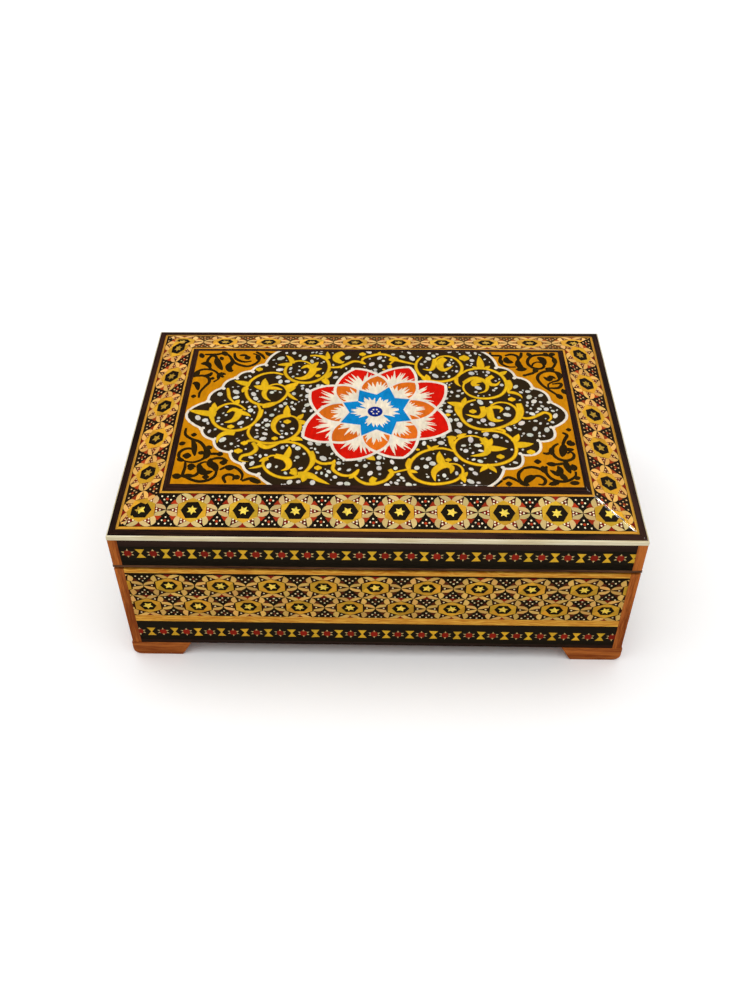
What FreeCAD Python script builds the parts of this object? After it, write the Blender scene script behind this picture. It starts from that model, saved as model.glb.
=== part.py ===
import FreeCAD, Part
import os

# A low inlaid box with a hinged lid, standing on four feet. Millimetres, +Z up, front towards -Y.

# Overall size of the walls
width = 200.0
depth = 124.0

# Feet
foot_height = 7.8
foot_length = 24.6
foot_proud = 0.3
foot_round = 3.4
foot_slant = 4.2

# Heights of the bands on the body, from the feet up
base_band_height = 14.4
lower_line_height = 3.75
marquetry_height = 26.45
upper_line_height = 2.2

# Heights of the bands on the lid's sides, from the seam up
lid_line_height = 1.2
lid_band_height = 14.2

# Strips on the lid's sloping border: width seen from above, and how far each one climbs
bone_width = 0.5
edge_strip_width = 2.69
edge_strip_rise = 0.53
marquetry_strip_width = 15.5
marquetry_strip_rise = 4.45
panel_border_width = 2.73
panel_border_rise = 1.13
lid_skin = 1.6
core_edge = 0.6

# Walls, from the outside in
veneer = 2.0
board = 5.0
post_bite = 1.8
lining = 1.5
bottom_thickness = 4.0
lining_clearance = 0.1

# Hinges
hinge_length = 20.0
hinge_from_end = 38.0
leaf_thickness = 0.8
leaf_let_in = 0.25
leaf_clearance = 0.1
leaf_margin = 0.5
barrel_radius = 1.5
barrel_clearance = 0.1
knuckle_clearance = 0.15
pin_radius = 0.7
pin_clearance = 0.05

# Hinge screws
screw_pitch = 6.5
screw_length = 6.0
screw_head_radius = 1.2
screw_head_depth = 0.65
screw_shank_radius = 0.6
screw_tip_length = 1.2
screw_slot_width = 0.3
screw_slot_depth = 0.25

# Levels, worked out from the heights
base_band_top = foot_height + base_band_height
lower_line_top = base_band_top + lower_line_height
marquetry_top = lower_line_top + marquetry_height
rim = marquetry_top + upper_line_height
seam_gap = 2 * (leaf_thickness - leaf_let_in) + leaf_clearance
lid_bottom = rim + seam_gap
lid_line_top = lid_bottom + lid_line_height
lid_band_top = lid_line_top + lid_band_height
arris = lid_band_top + core_edge + lid_skin
floor_top = foot_height + bottom_thickness
lining_floor_top = floor_top + lining

# Depths into the wall, worked out from the thicknesses
post = veneer + post_bite
board_inside = veneer + board
lining_inside = board_inside + lining

# Hinge axis
back = depth / 2
axis_y = back + barrel_clearance + barrel_radius
axis_z = rim + seam_gap / 2

# The origin is under the middle of the whole part, feet and hinge barrels counted
front_reach = depth / 2 + foot_proud
back_reach = axis_y + barrel_radius
middle_y = (back_reach - front_reach) / 2

side_ends = {
    "front": ((-1, -1), (1, -1)),
    "right": ((1, -1), (1, 1)),
    "back": ((1, 1), (-1, 1)),
    "left": ((-1, 1), (-1, -1)),
}
corner_signs = {
    "front_left": (-1, -1),
    "front_right": (1, -1),
    "back_left": (-1, 1),
    "back_right": (1, 1),
}
hinge_centres = {"left": hinge_from_end - width / 2, "right": width / 2 - hinge_from_end}


def save(name, solids):
    """Write one piece, or a group of like pieces, about the part's origin."""
    shape = Part.makeCompound(solids) if len(solids) > 1 else solids[0].copy()
    shape.translate(FreeCAD.Vector(0, -middle_y, 0))
    shape.exportStep("parts/" + name + ".step")


def block(x_range, y_range, z_range):
    """A box between two limits on each axis, given in either order."""
    low = FreeCAD.Vector(min(x_range), min(y_range), min(z_range))
    high = FreeCAD.Vector(max(x_range), max(y_range), max(z_range))
    return Part.makeBox(high.x - low.x, high.y - low.y, high.z - low.z, low)


def side_block(side, outer, inner, ends, low, high):
    """A straight piece along one side, its faces and ends set in from the box's outline."""
    sign_x, sign_y = side_ends[side][0]
    if side in ("front", "back"):
        x_range = (ends - width / 2, width / 2 - ends)
        y_range = (sign_y * (depth / 2 - outer), sign_y * (depth / 2 - inner))
    else:
        x_range = (sign_x * (width / 2 - outer), sign_x * (width / 2 - inner))
        y_range = (ends - depth / 2, depth / 2 - ends)
    return block(x_range, y_range, (low, high))


def corner_point(signs, inset, level):
    """A point on a corner's diagonal, set in alike from both sides."""
    return FreeCAD.Vector(signs[0] * (width / 2 - inset), signs[1] * (depth / 2 - inset), level)


def flat_face(points):
    return Part.Face(Part.makePolygon(points + points[:1]))


def skinned_solid(rings):
    """A solid with flat faces between rings of points, closed at the first and last ring."""
    faces = [flat_face(rings[0]), flat_face(rings[-1])]
    for near, far in zip(rings, rings[1:]):
        for first in range(len(near)):
            second = (first + 1) % len(near)
            faces.append(flat_face([near[first], near[second], far[second], far[first]]))
    solid = Part.Solid(Part.Shell(faces))
    if solid.Volume < 0:
        solid.reverse()
    return solid


def mitred_bar(side, section):
    """A bar along one side with mitred ends, from the (inset, level) corners of its section."""
    rings = []
    for signs in side_ends[side]:
        rings.append([corner_point(signs, inset, level) for inset, level in section])
    return skinned_solid(rings)


def mitred_frame(section):
    return [mitred_bar(side, section) for side in side_ends]


def corner_post(signs, low, high):
    """A square post at a corner, let into the boards behind it."""
    x_range = (signs[0] * (width / 2 - post), signs[0] * width / 2)
    y_range = (signs[1] * (depth / 2 - post), signs[1] * depth / 2)
    return block(x_range, y_range, (low, high))


def corner_foot(signs):
    """A block foot, rounded under its outer end and slanted at both inner ends."""
    outer_x = width / 2 + foot_proud
    outer_y = depth / 2 + foot_proud
    inner_x = outer_x - foot_length
    inner_y = outer_y - foot_length
    turn = foot_round * (1 - 0.5 ** 0.5)

    def at(x, z):
        return FreeCAD.Vector(signs[0] * x, signs[1] * outer_y, z)

    rounding = Part.Arc(at(outer_x, foot_round), at(outer_x - turn, turn), at(outer_x - foot_round, 0))
    corners = [
        at(outer_x - foot_round, 0),
        at(inner_x + foot_slant, 0),
        at(inner_x, foot_height),
        at(outer_x, foot_height),
        at(outer_x, foot_round),
    ]
    edges = [Part.makeLine(first, second) for first, second in zip(corners, corners[1:])]
    profile = Part.Face(Part.Wire(edges + [rounding.toShape()]))
    bar = profile.extrude(FreeCAD.Vector(0, -signs[1] * foot_length, 0))

    end_profile = flat_face([
        FreeCAD.Vector(0, signs[1] * outer_y, 0),
        FreeCAD.Vector(0, signs[1] * outer_y, foot_height),
        FreeCAD.Vector(0, signs[1] * inner_y, foot_height),
        FreeCAD.Vector(0, signs[1] * (inner_y + foot_slant), 0),
    ])
    return bar.common(end_profile.extrude(FreeCAD.Vector(signs[0] * outer_x, 0, 0)))


def turned_screw(head_centre, direction):
    """A countersunk screw, and the same without its slot, pointing up (1) or down (-1)."""
    outline = [
        (0, 0),
        (screw_head_radius, 0),
        (screw_shank_radius, screw_head_depth),
        (screw_shank_radius, screw_length - screw_tip_length),
        (0, screw_length),
    ]
    points = [head_centre + FreeCAD.Vector(radius, 0, direction * reach) for radius, reach in outline]
    plain = flat_face(points).revolve(head_centre, FreeCAD.Vector(0, 0, 1), 360)
    slot = block(
        (head_centre.x - screw_head_radius, head_centre.x + screw_head_radius),
        (head_centre.y - screw_slot_width / 2, head_centre.y + screw_slot_width / 2),
        (head_centre.z, head_centre.z + direction * screw_slot_depth),
    )
    return plain.cut(slot), plain


def along_x(radius, x_range):
    """A round bar on the hinge axis."""
    start = FreeCAD.Vector(x_range[0], axis_y, axis_z)
    return Part.makeCylinder(radius, x_range[1] - x_range[0], start, FreeCAD.Vector(1, 0, 0))


def leaf_plate(centre_x, levels):
    """The flat part of a hinge leaf, and the seat that it is let into."""
    x_range = (centre_x - hinge_length / 2, centre_x + hinge_length / 2)
    return block(x_range, (back - board_inside + leaf_margin, back), levels)


def hinge_leaf(centre_x, levels, knuckles, bore):
    """A leaf with its knuckles: a plate let into the back edge, rolled round the pin."""
    leaf = leaf_plate(centre_x, levels)
    for knuckle in knuckles:
        leaf = leaf.fuse([block(knuckle, (back, axis_y), levels), along_x(barrel_radius, knuckle)])
    for knuckle in knuckles:
        leaf = leaf.cut(along_x(bore, knuckle))
    return leaf.removeSplitter()


os.makedirs("parts", exist_ok=True)

# Hinges: three knuckles each, the outer two on the body's leaf and the middle one on the lid's
body_leaf_levels = (rim - leaf_let_in, rim - leaf_let_in + leaf_thickness)
lid_leaf_levels = (lid_bottom + leaf_let_in - leaf_thickness, lid_bottom + leaf_let_in)
knuckle_length = (hinge_length - 2 * knuckle_clearance) / 3
screw_y = back - veneer - board / 2
body_screws = []
lid_screws = []
body_screw_holes = []
lid_screw_holes = []
for side, centre_x in hinge_centres.items():
    start = centre_x - hinge_length / 2
    stop = centre_x + hinge_length / 2
    middle = (centre_x - knuckle_length / 2, centre_x + knuckle_length / 2)
    outer = [(start, start + knuckle_length), (stop - knuckle_length, stop)]
    body_leaf = hinge_leaf(centre_x, body_leaf_levels, outer, pin_radius)
    lid_leaf = hinge_leaf(centre_x, lid_leaf_levels, [middle], pin_radius + pin_clearance)
    for place in (-1, 0, 1):
        screw_x = centre_x + place * screw_pitch
        screw, hole = turned_screw(FreeCAD.Vector(screw_x, screw_y, body_leaf_levels[1]), -1)
        body_screws.append(screw)
        body_screw_holes.append(hole)
        screw, hole = turned_screw(FreeCAD.Vector(screw_x, screw_y, lid_leaf_levels[0]), 1)
        lid_screws.append(screw)
        lid_screw_holes.append(hole)
    save("hinge_" + side + "_body_leaf", [body_leaf.cut(body_screw_holes)])
    save("hinge_" + side + "_lid_leaf", [lid_leaf.cut(lid_screw_holes)])
    save("hinge_" + side + "_pin", [along_x(pin_radius, (start, stop))])
save("hinge_body_screws", body_screws)
save("hinge_lid_screws", lid_screws)

# Seats of the hinge leaves in the back edges
body_hinge_seats = [leaf_plate(centre_x, body_leaf_levels) for centre_x in hinge_centres.values()]
lid_hinge_seats = [leaf_plate(centre_x, lid_leaf_levels) for centre_x in hinge_centres.values()]

# Corner posts of the body and the lid
body_posts = {name: corner_post(signs, foot_height, rim) for name, signs in corner_signs.items()}
lid_posts = {name: corner_post(signs, lid_line_top, lid_band_top) for name, signs in corner_signs.items()}
for name in corner_signs:
    save("corner_post_" + name, [body_posts[name]])
    save("lid_post_" + name, [lid_posts[name]])
    save("foot_" + name, [corner_foot(corner_signs[name])])

# Carcass of the body: front and back boards run the full width, side boards butt between them
for side in side_ends:
    ends = veneer if side in ("front", "back") else board_inside
    carcass_board = side_block(side, veneer, board_inside, ends, foot_height, rim)
    carcass_board = carcass_board.cut(list(body_posts.values()))
    if side == "back":
        carcass_board = carcass_board.cut(body_hinge_seats + body_screw_holes)
    save(side + "_board", [carcass_board])
bottom_x = (board_inside - width / 2, width / 2 - board_inside)
bottom_y = (board_inside - depth / 2, depth / 2 - board_inside)
save("bottom_panel", [block(bottom_x, bottom_y, (foot_height, floor_top))])

# Skins of the body's four sides, between the posts
upper_lines = []
lower_lines = []
for side in side_ends:
    save("base_band_" + side, [side_block(side, 0, veneer, post, foot_height, base_band_top)])
    save("marquetry_" + side, [side_block(side, 0, veneer, post, lower_line_top, marquetry_top)])
    lower_lines.append(side_block(side, 0, veneer, post, base_band_top, lower_line_top))
    upper_line = side_block(side, 0, veneer, post, marquetry_top, rim)
    upper_lines.append(upper_line.cut(body_hinge_seats) if side == "back" else upper_line)
save("lower_lines", lower_lines)
save("upper_lines", upper_lines)

# Lining of the body: its top edge stands proud of the rim, and the closed lid settles on it
save("lining_floor", [block(bottom_x, bottom_y, (floor_top, lining_floor_top))])
for side in side_ends:
    ends = board_inside if side in ("front", "back") else lining_inside
    lining_top = lid_bottom - lining_clearance
    wall = side_block(side, board_inside, lining_inside, ends, lining_floor_top, lining_top)
    save("lining_" + side, [wall])

# Frame of the lid: rails laid out as the boards are, as thick as board and lining together
for side in side_ends:
    ends = veneer if side in ("front", "back") else lining_inside
    rail = side_block(side, veneer, lining_inside, ends, lid_bottom, lid_band_top)
    rail = rail.cut(list(lid_posts.values()))
    if side == "back":
        rail = rail.cut(lid_hinge_seats + lid_screw_holes)
    save("lid_rail_" + side, [rail])
    save("lid_band_" + side, [side_block(side, 0, veneer, post, lid_line_top, lid_band_top)])

# Thin line at the lid's lower edge, mitred under the posts and bands
lid_line_section = [(0, lid_bottom), (veneer, lid_bottom), (veneer, lid_line_top), (0, lid_line_top)]
lid_lines = []
for side in side_ends:
    line = mitred_bar(side, lid_line_section)
    lid_lines.append(line.cut(lid_hinge_seats) if side == "back" else line)
save("lid_lower_lines", lid_lines)

# Stations of the lid's sloping border, from the arris to the painted panel: (inset, level)
edge_outer = (bone_width, arris)
edge_inner = (edge_outer[0] + edge_strip_width, edge_outer[1] + edge_strip_rise)
marquetry_inner = (edge_inner[0] + marquetry_strip_width, edge_inner[1] + marquetry_strip_rise)
panel_edge = (marquetry_inner[0] + panel_border_width, marquetry_inner[1] + panel_border_rise)


def under(station):
    """The point on the lid core below a station of the border."""
    return (station[0], station[1] - lid_skin)


def strip_section(outer_station, inner_station):
    return [under(outer_station), under(inner_station), inner_station, outer_station]


bone_section = [(0, lid_band_top), (bone_width, lid_band_top), edge_outer, (0, arris)]
save("bone_line", mitred_frame(bone_section))
save("lid_edge_strips", mitred_frame(strip_section(edge_outer, edge_inner)))
save("panel_border_strips", mitred_frame(strip_section(marquetry_inner, panel_edge)))
for side in side_ends:
    save("lid_marquetry_" + side, [mitred_bar(side, strip_section(edge_inner, marquetry_inner))])

# Lid core, its bevels following the strips, then the painted panel on it and the lining under it
core_stations = [(bone_width, lid_band_top)]
core_stations += [under(station) for station in (edge_outer, edge_inner, marquetry_inner, panel_edge)]
core_rings = []
for inset, level in core_stations:
    core_rings.append([corner_point(ends[0], inset, level) for ends in side_ends.values()])
save("lid_core", [skinned_solid(core_rings)])
panel_x = (panel_edge[0] - width / 2, width / 2 - panel_edge[0])
panel_y = (panel_edge[0] - depth / 2, depth / 2 - panel_edge[0])
save("painted_panel", [block(panel_x, panel_y, (under(panel_edge)[1], panel_edge[1]))])
lid_lining_x = (lining_inside - width / 2, width / 2 - lining_inside)
lid_lining_y = (lining_inside - depth / 2, depth / 2 - lining_inside)
save("lid_lining", [block(lid_lining_x, lid_lining_y, (lid_band_top - lining, lid_band_top))])
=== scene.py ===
import math
import random

import bmesh
import bpy
from mathutils import Matrix, Vector
from mathutils.geometry import delaunay_2d_cdt


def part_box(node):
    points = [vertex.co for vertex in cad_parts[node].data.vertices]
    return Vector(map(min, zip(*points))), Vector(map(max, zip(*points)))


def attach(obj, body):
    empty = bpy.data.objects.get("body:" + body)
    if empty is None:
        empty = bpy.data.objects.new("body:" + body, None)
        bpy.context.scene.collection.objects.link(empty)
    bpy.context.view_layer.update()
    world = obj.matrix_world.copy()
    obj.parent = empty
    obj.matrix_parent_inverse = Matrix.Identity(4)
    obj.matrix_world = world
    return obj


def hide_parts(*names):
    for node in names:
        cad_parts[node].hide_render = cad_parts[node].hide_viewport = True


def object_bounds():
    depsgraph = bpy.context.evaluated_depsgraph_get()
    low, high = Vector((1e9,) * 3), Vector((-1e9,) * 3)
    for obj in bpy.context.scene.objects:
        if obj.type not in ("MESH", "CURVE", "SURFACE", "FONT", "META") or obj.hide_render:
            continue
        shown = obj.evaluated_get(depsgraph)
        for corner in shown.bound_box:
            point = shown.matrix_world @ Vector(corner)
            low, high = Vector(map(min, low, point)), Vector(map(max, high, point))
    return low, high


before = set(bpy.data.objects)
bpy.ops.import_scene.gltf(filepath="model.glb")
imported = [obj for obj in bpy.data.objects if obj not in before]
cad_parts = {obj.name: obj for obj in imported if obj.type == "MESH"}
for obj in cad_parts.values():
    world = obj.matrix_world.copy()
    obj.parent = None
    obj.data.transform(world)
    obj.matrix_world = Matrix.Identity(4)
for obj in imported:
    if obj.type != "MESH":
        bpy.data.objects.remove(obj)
cad_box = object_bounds()

# Lengths are written in millimetres and colours in screen values from 0 to 255
MM = 0.001
LONGER_BY = (cad_box[1][0] - cad_box[0][0] - cad_box[1][1] + cad_box[0][1]) / 2 / MM

ROSEWOOD = (50, 35, 28)
BAND_BLACK = (33, 27, 18)
HEART_BLACK = (27, 20, 10)
IVORY = (202, 174, 112)
GOLD_WOOD = (210, 162, 38)
ORANGE_LINE = (208, 148, 48)
CREAM_DOT = (244, 230, 186)
BAND_RED = (136, 30, 14)
RED_TIP = (124, 24, 10)

# Tints of the flowers' bits: the front slope's are the inlay's own colours; the side slopes' and the back's
# are lit and shaded copies of them, with painted light: the side copies have a lighter ground, brighter
# leaves and rings and a dimmer star (less painted glint), and the back copy has a brown ground and pale
# leaves and ring, a painted sheen
THREE_SPOTS = ((6.0, 0.78), (6.0, -0.78), (7.25, 0))
ONE_SPOT = ((6.5, 0),)
FRONT_BITS = {
    "ground": (25, 18, 9), "leaf": IVORY, "ring": (204, 155, 38), "star": (240, 208, 80),
    "red": (160, 46, 14), "petal": (106, 14, 8), "dot": CREAM_DOT,
    "spots": THREE_SPOTS, "heart": 4.2, "reach": 6.2,
}
# Painted light: a lit copy of the front tints for the side slopes, not a different inlay
SIDE_SLOPE_LIT_BITS = {
    "ground": (36, 23, 11), "leaf": (230, 174, 90), "ring": (212, 156, 40), "star": (176, 138, 48),
    "red": (156, 54, 18), "petal": (104, 20, 8), "dot": (224, 178, 116),
    "spots": THREE_SPOTS, "heart": 3.9, "reach": 6.2,
}
# Painted sheen: a lighter copy of the front tints for the back slope, not a different inlay
BACK_SHEEN_LIT_BITS = {
    "ground": (90, 58, 20), "leaf": (246, 196, 116), "ring": (236, 176, 56), "star": (206, 164, 64),
    "red": (176, 88, 30), "petal": (130, 66, 22), "dot": (236, 190, 124),
    "spots": ONE_SPOT, "heart": 3.7, "reach": 6.2,
}
BODY_BITS = {
    "ground": (30, 21, 9), "leaf": (208, 162, 82), "ring": (200, 146, 40), "star": (234, 198, 76),
    "red": (84, 34, 14), "petal": (52, 22, 10), "dot": (232, 210, 158),
    "spots": ONE_SPOT, "heart": 3.35, "reach": 5.7,
}

PANEL_BROWN = (44, 31, 14)
PAINT_GOLD = (226, 178, 24)
PAINT_AMBER_SHADE = (180, 126, 12)
PAINT_AMBER = (201, 129, 1)
PAINT_INK = (40, 28, 5)
PAINT_WHITE = (228, 217, 199)
PAINT_DOT = (206, 202, 190)
PAINT_RED = (208, 18, 3)
PAINT_ORANGE = (216, 104, 22)
PAINT_BLUE = (8, 126, 188)
PAINT_NAVY = (14, 34, 122)
PAINT_CREAM = (232, 219, 195)


def linear(tint):
    """Scene colour of a screen colour."""
    parts = []
    for part in tint:
        share = part / 255
        parts.append(share / 12.92 if share <= 0.04045 else ((share + 0.055) / 1.055) ** 2.4)
    return tuple(parts)


# Materials
class Value:
    """A number in a material; arithmetic on it adds Math nodes."""

    def __init__(self, finish, socket):
        self.finish = finish
        self.socket = socket

    def math(self, operation, first, second):
        return self.finish.node("ShaderNodeMath", {"operation": operation}, {0: first, 1: second})

    def __add__(self, other):
        return self.math("ADD", self, other)

    def __sub__(self, other):
        return self.math("SUBTRACT", self, other)

    def __rsub__(self, other):
        return self.math("SUBTRACT", other, self)

    def __mul__(self, other):
        return self.math("MULTIPLY", self, other)

    __radd__ = __add__
    __rmul__ = __mul__


class Finish:
    """One material: its constants are set on the shader, and its nodes are added by one method."""

    def __init__(self, name, constants):
        self.material = bpy.data.materials.new(name)
        self.material.use_nodes = True
        self.tree = self.material.node_tree
        self.surface = self.tree.nodes["Principled BSDF"]
        for socket, value in constants.items():
            self.surface.inputs[socket].default_value = value

    def node(self, kind, settings, inputs, output=0):
        made = self.tree.nodes.new(kind)
        for name, value in settings.items():
            setattr(made, name, value)
        for name, value in inputs.items():
            self.feed(made.inputs[name], value)
        return Value(self, made.outputs[output])

    def feed(self, socket, value):
        if isinstance(value, Value):
            self.tree.links.new(value.socket, socket)
        else:
            socket.default_value = value

    def wear(self, **sockets):
        """Feeds the shader's own sockets, named with underscores for spaces."""
        for name, value in sockets.items():
            self.feed(self.surface.inputs[name.replace("_", " ")], value)

    def millimetres(self):
        """Where a point lies on the part, in millimetres."""
        place = self.node("ShaderNodeTexCoord", {}, {}, "Object")
        return self.stretched(place, (1 / MM,) * 3)

    def along_walls(self):
        """Millimetres along any of the four sides, outwards from the middle, and up."""
        parts = self.node("ShaderNodeSeparateXYZ", {}, {0: self.millimetres()})
        outputs = parts.socket.node.outputs
        x, y, z = (Value(self, outputs[axis]) for axis in "XYZ")
        across = x.math("MAXIMUM", x.math("ABSOLUTE", x, 0) - LONGER_BY, y.math("ABSOLUTE", y, 0))
        return self.node("ShaderNodeCombineXYZ", {}, {0: x + y, 1: across, 2: z})

    def stretched(self, place, factors):
        return self.node("ShaderNodeVectorMath", {"operation": "MULTIPLY"}, {0: place, 1: factors})

    def noise(self, place, factors, detail=3.0):
        inputs = {"Vector": self.stretched(place, factors), "Scale": 1.0, "Detail": detail}
        return self.node("ShaderNodeTexNoise", {}, inputs, "Fac")

    def ramp(self, value, low, high):
        """0 below low, 1 above high."""
        limits = {0: value, 1: low, 2: high, 3: 0.0, 4: 1.0}
        return self.node("ShaderNodeMapRange", {"interpolation_type": "SMOOTHSTEP"}, limits)

    def mix(self, factor, first, second, blend="MIX"):
        settings = {"data_type": "RGBA", "blend_type": blend}
        return self.node("ShaderNodeMix", settings, {0: factor, 6: first, 7: second}, 2)

    def shaded(self, colour, shade):
        """A colour made darker or lighter by a number near 1."""
        return self.mix(1.0, colour, shade, "MULTIPLY")

    def relief(self, height, depth):
        """A surface that rises by depth millimetres where height is 1."""
        return self.node("ShaderNodeBump", {}, {"Strength": 1.0, "Distance": depth * MM, "Height": height})


def solid_colour(tint):
    return (*linear(tint), 1.0)


LACQUER = {"Specular IOR Level": 0.03, "Coat Weight": 0.9, "Coat Roughness": 0.06, "Coat IOR": 1.5}
SATIN = {"Specular IOR Level": 0.02, "Coat Weight": 0.06, "Coat Roughness": 0.2, "Coat IOR": 1.5}


def inlay_finish(name, constants):
    """Tiny sticks of wood, bone and brass under lacquer: every bit has its own tint and fine streaks."""
    finish = Finish(name, constants)
    place = finish.along_walls()
    tint = finish.node("ShaderNodeAttribute", {"attribute_name": "tint"}, {}, "Color")
    streaks = finish.noise(place, (0.5, 1.6, 1.6), 4.0)
    specks = finish.noise(place, (4.0, 5.0, 5.0), 2.0)
    shade = 0.72 + 0.36 * streaks + 0.2 * specks
    waves = finish.noise(place, (0.12, 0.12, 0.12), 1.0)
    finish.wear(
        Base_Color=finish.shaded(tint, shade),
        Roughness=0.3 + 0.2 * specks,
        Normal=finish.relief(0.12 * specks + waves, 0.12),
    )
    return finish.material


def paint_finish():
    """Brushed colours under thick clear lacquer."""
    finish = Finish("painted_lacquer", LACQUER)
    place = finish.millimetres()
    tint = finish.node("ShaderNodeAttribute", {"attribute_name": "tint"}, {}, "Color")
    drags = finish.noise(place, (0.9, 0.35, 1.0), 3.0)
    patches = finish.noise(place, (0.16, 0.16, 0.16), 2.0)
    specks = finish.noise(place, (5.0, 5.0, 5.0), 2.0)
    shade = 0.5 + 0.56 * drags + 0.34 * patches + 0.1 * specks
    waves = finish.noise(place, (0.09, 0.09, 0.09), 1.0)
    finish.wear(
        Base_Color=finish.shaded(tint, shade),
        Roughness=0.26 + 0.16 * specks,
        Normal=finish.relief(0.1 * drags + waves, 0.14),
    )
    return finish.material


def wood_finish(name, pale, dark, place_kind, constants, streak=1.0):
    """Straight-grained wood: broad bands, fine fibres and short dark pores along the grain."""
    finish = Finish(name, constants)
    if place_kind == "upright":
        place = finish.stretched(finish.millimetres(), (1.0, 1.0, 0.06))
    elif place_kind == "crosswise":
        place = finish.stretched(finish.millimetres(), (0.07, 1.0, 1.0))
    else:
        place = finish.stretched(finish.along_walls(), (0.06, 0.6, 1.0))
    bands = finish.noise(place, (0.42,) * 3, 2.0)
    fibres = finish.noise(place, (2.6,) * 3, 4.0)
    pores = finish.ramp(finish.noise(place, (5.5,) * 3, 2.0), 0.6, 0.72)
    darkness = finish.ramp(0.62 * bands + 0.38 * fibres, 0.36, 0.64)
    colour = finish.mix(darkness * streak, solid_colour(pale), solid_colour(dark))
    finish.wear(
        Base_Color=finish.shaded(colour, 1.0 - 0.3 * pores),
        Roughness=0.36 + 0.16 * fibres,
        Normal=finish.relief(fibres - 0.8 * pores, 0.03),
    )
    return finish.material


def light_line_finish():
    """Pale orange wood cut on the slant, so that its grain runs in short wavy strokes."""
    finish = Finish("light_line_wood", SATIN)
    place = finish.along_walls()
    sway = finish.noise(place, (0.08, 0.08, 0.08), 2.0)
    slanted = finish.node("ShaderNodeVectorMath", {"operation": "ADD"}, {0: place, 1: sway * 5.0})
    strokes = finish.noise(slanted, (0.13, 0.5, 1.5), 3.0)
    fibres = finish.noise(slanted, (0.4, 2.0, 5.0), 3.0)
    darkness = finish.ramp(0.7 * strokes + 0.3 * fibres, 0.34, 0.66)
    colour = finish.mix(darkness, solid_colour((228, 172, 66)), solid_colour((186, 112, 28)))
    finish.wear(
        Base_Color=finish.shaded(colour, 0.88 + 0.22 * fibres),
        Roughness=0.34 + 0.12 * fibres,
        Normal=finish.relief(fibres, 0.03),
    )
    return finish.material


def bone_finish():
    """Camel-bone strip: cream with faint long streaks."""
    finish = Finish("bone_strip", LACQUER)
    place = finish.along_walls()
    streaks = finish.noise(place, (0.05, 1.2, 2.4), 4.0)
    clouds = finish.noise(place, (0.06, 0.3, 0.3), 2.0)
    darkness = finish.ramp(0.6 * streaks + 0.4 * clouds, 0.35, 0.7)
    colour = finish.mix(darkness, solid_colour((236, 226, 194)), solid_colour((204, 184, 136)))
    finish.wear(Base_Color=colour, Roughness=0.3 + 0.15 * streaks, Normal=finish.relief(streaks, 0.02))
    return finish.material


def velvet_finish():
    """Deep red velvet glued on card."""
    constants = {"Sheen Weight": 0.35, "Sheen Tint": (0.8, 0.25, 0.3, 1.0), "Specular IOR Level": 0.05}
    finish = Finish("red_velvet", constants)
    place = finish.millimetres()
    nap = finish.noise(place, (0.12, 0.12, 0.12), 3.0)
    pile = finish.noise(place, (6.0, 6.0, 6.0), 2.0)
    colour = finish.mix(finish.ramp(nap, 0.3, 0.7), solid_colour((96, 8, 20)), solid_colour((132, 18, 30)))
    finish.wear(
        Base_Color=finish.shaded(colour, 0.7 + 0.6 * pile),
        Roughness=0.8 + 0.15 * pile,
        Normal=finish.relief(pile, 0.12),
    )
    return finish.material


def brass_finish():
    """Rolled brass, a little dull, with fine scratches."""
    finish = Finish("hinge_brass", {"Metallic": 0.4})
    place = finish.millimetres()
    scratches = finish.noise(place, (0.6, 9.0, 9.0), 3.0)
    tarnish = finish.noise(place, (0.35, 0.35, 0.35), 3.0)
    dulled = finish.ramp(tarnish, 0.45, 0.75)
    colour = finish.mix(dulled, solid_colour((216, 176, 92)), solid_colour((158, 118, 52)))
    finish.wear(Base_Color=colour, Roughness=0.24 + 0.22 * scratches, Normal=finish.relief(scratches, 0.01))
    return finish.material


LID_INLAY = inlay_finish("lid_inlay", LACQUER)
WALL_INLAY = inlay_finish("wall_inlay", SATIN)
PAINT = paint_finish()
POST_WOOD = wood_finish("post_wood", (190, 106, 42), (128, 60, 20), "upright", SATIN)
FOOT_WOOD = wood_finish("foot_wood", (184, 104, 44), (128, 60, 22), "crosswise", SATIN)
ROSEWOOD_STRIP = wood_finish("rosewood_strip", (56, 32, 23), (28, 15, 10), "wall", LACQUER)
CARCASS_WOOD = wood_finish("carcass_wood", (150, 100, 58), (104, 64, 34), "wall", SATIN, 0.8)
DARKER_LID_LINE = wood_finish("darker_lid_line", (112, 76, 50), (52, 28, 16), "wall", SATIN)
LIGHT_LINE = light_line_finish()
BONE = bone_finish()
VELVET = velvet_finish()
BRASS = brass_finish()


# Outlines and curves on a flat face
def polar(reach, degrees):
    angle = math.radians(degrees)
    return (reach * math.cos(angle), reach * math.sin(angle))


def signed_area(points):
    doubled = 0.0
    for (x, y), (next_x, next_y) in zip(points, points[1:] + points[:1]):
        doubled += x * next_y - next_x * y
    return doubled / 2


def seated(points, degrees=0.0, at=(0.0, 0.0), scale=1.0, squeeze=1.0):
    """Points turned, scaled, squeezed upright and moved to a place."""
    cosine, sine = polar(scale, degrees)
    placed = []
    for x, y in points:
        placed.append((at[0] + x * cosine - y * sine, at[1] + squeeze * (x * sine + y * cosine)))
    return placed


def bend(first, control, last, steps):
    """A curve from first to last, drawn towards control."""
    path = []
    for step in range(steps + 1):
        t = step / steps
        weights = ((1 - t) ** 2, 2 * t * (1 - t), t * t)
        points = (first, control, last)
        path.append(tuple(sum(w * p[axis] for w, p in zip(weights, points)) for axis in (0, 1)))
    return path


def bowed(first, last, rise, steps):
    """A curve from first to last that swells to its left by a share of its length."""
    across = (first[1] - last[1], last[0] - first[0])
    middle = [(a + b) / 2 + 2 * rise * c for a, b, c in zip(first, last, across)]
    return bend(first, middle, last, steps)


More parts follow.
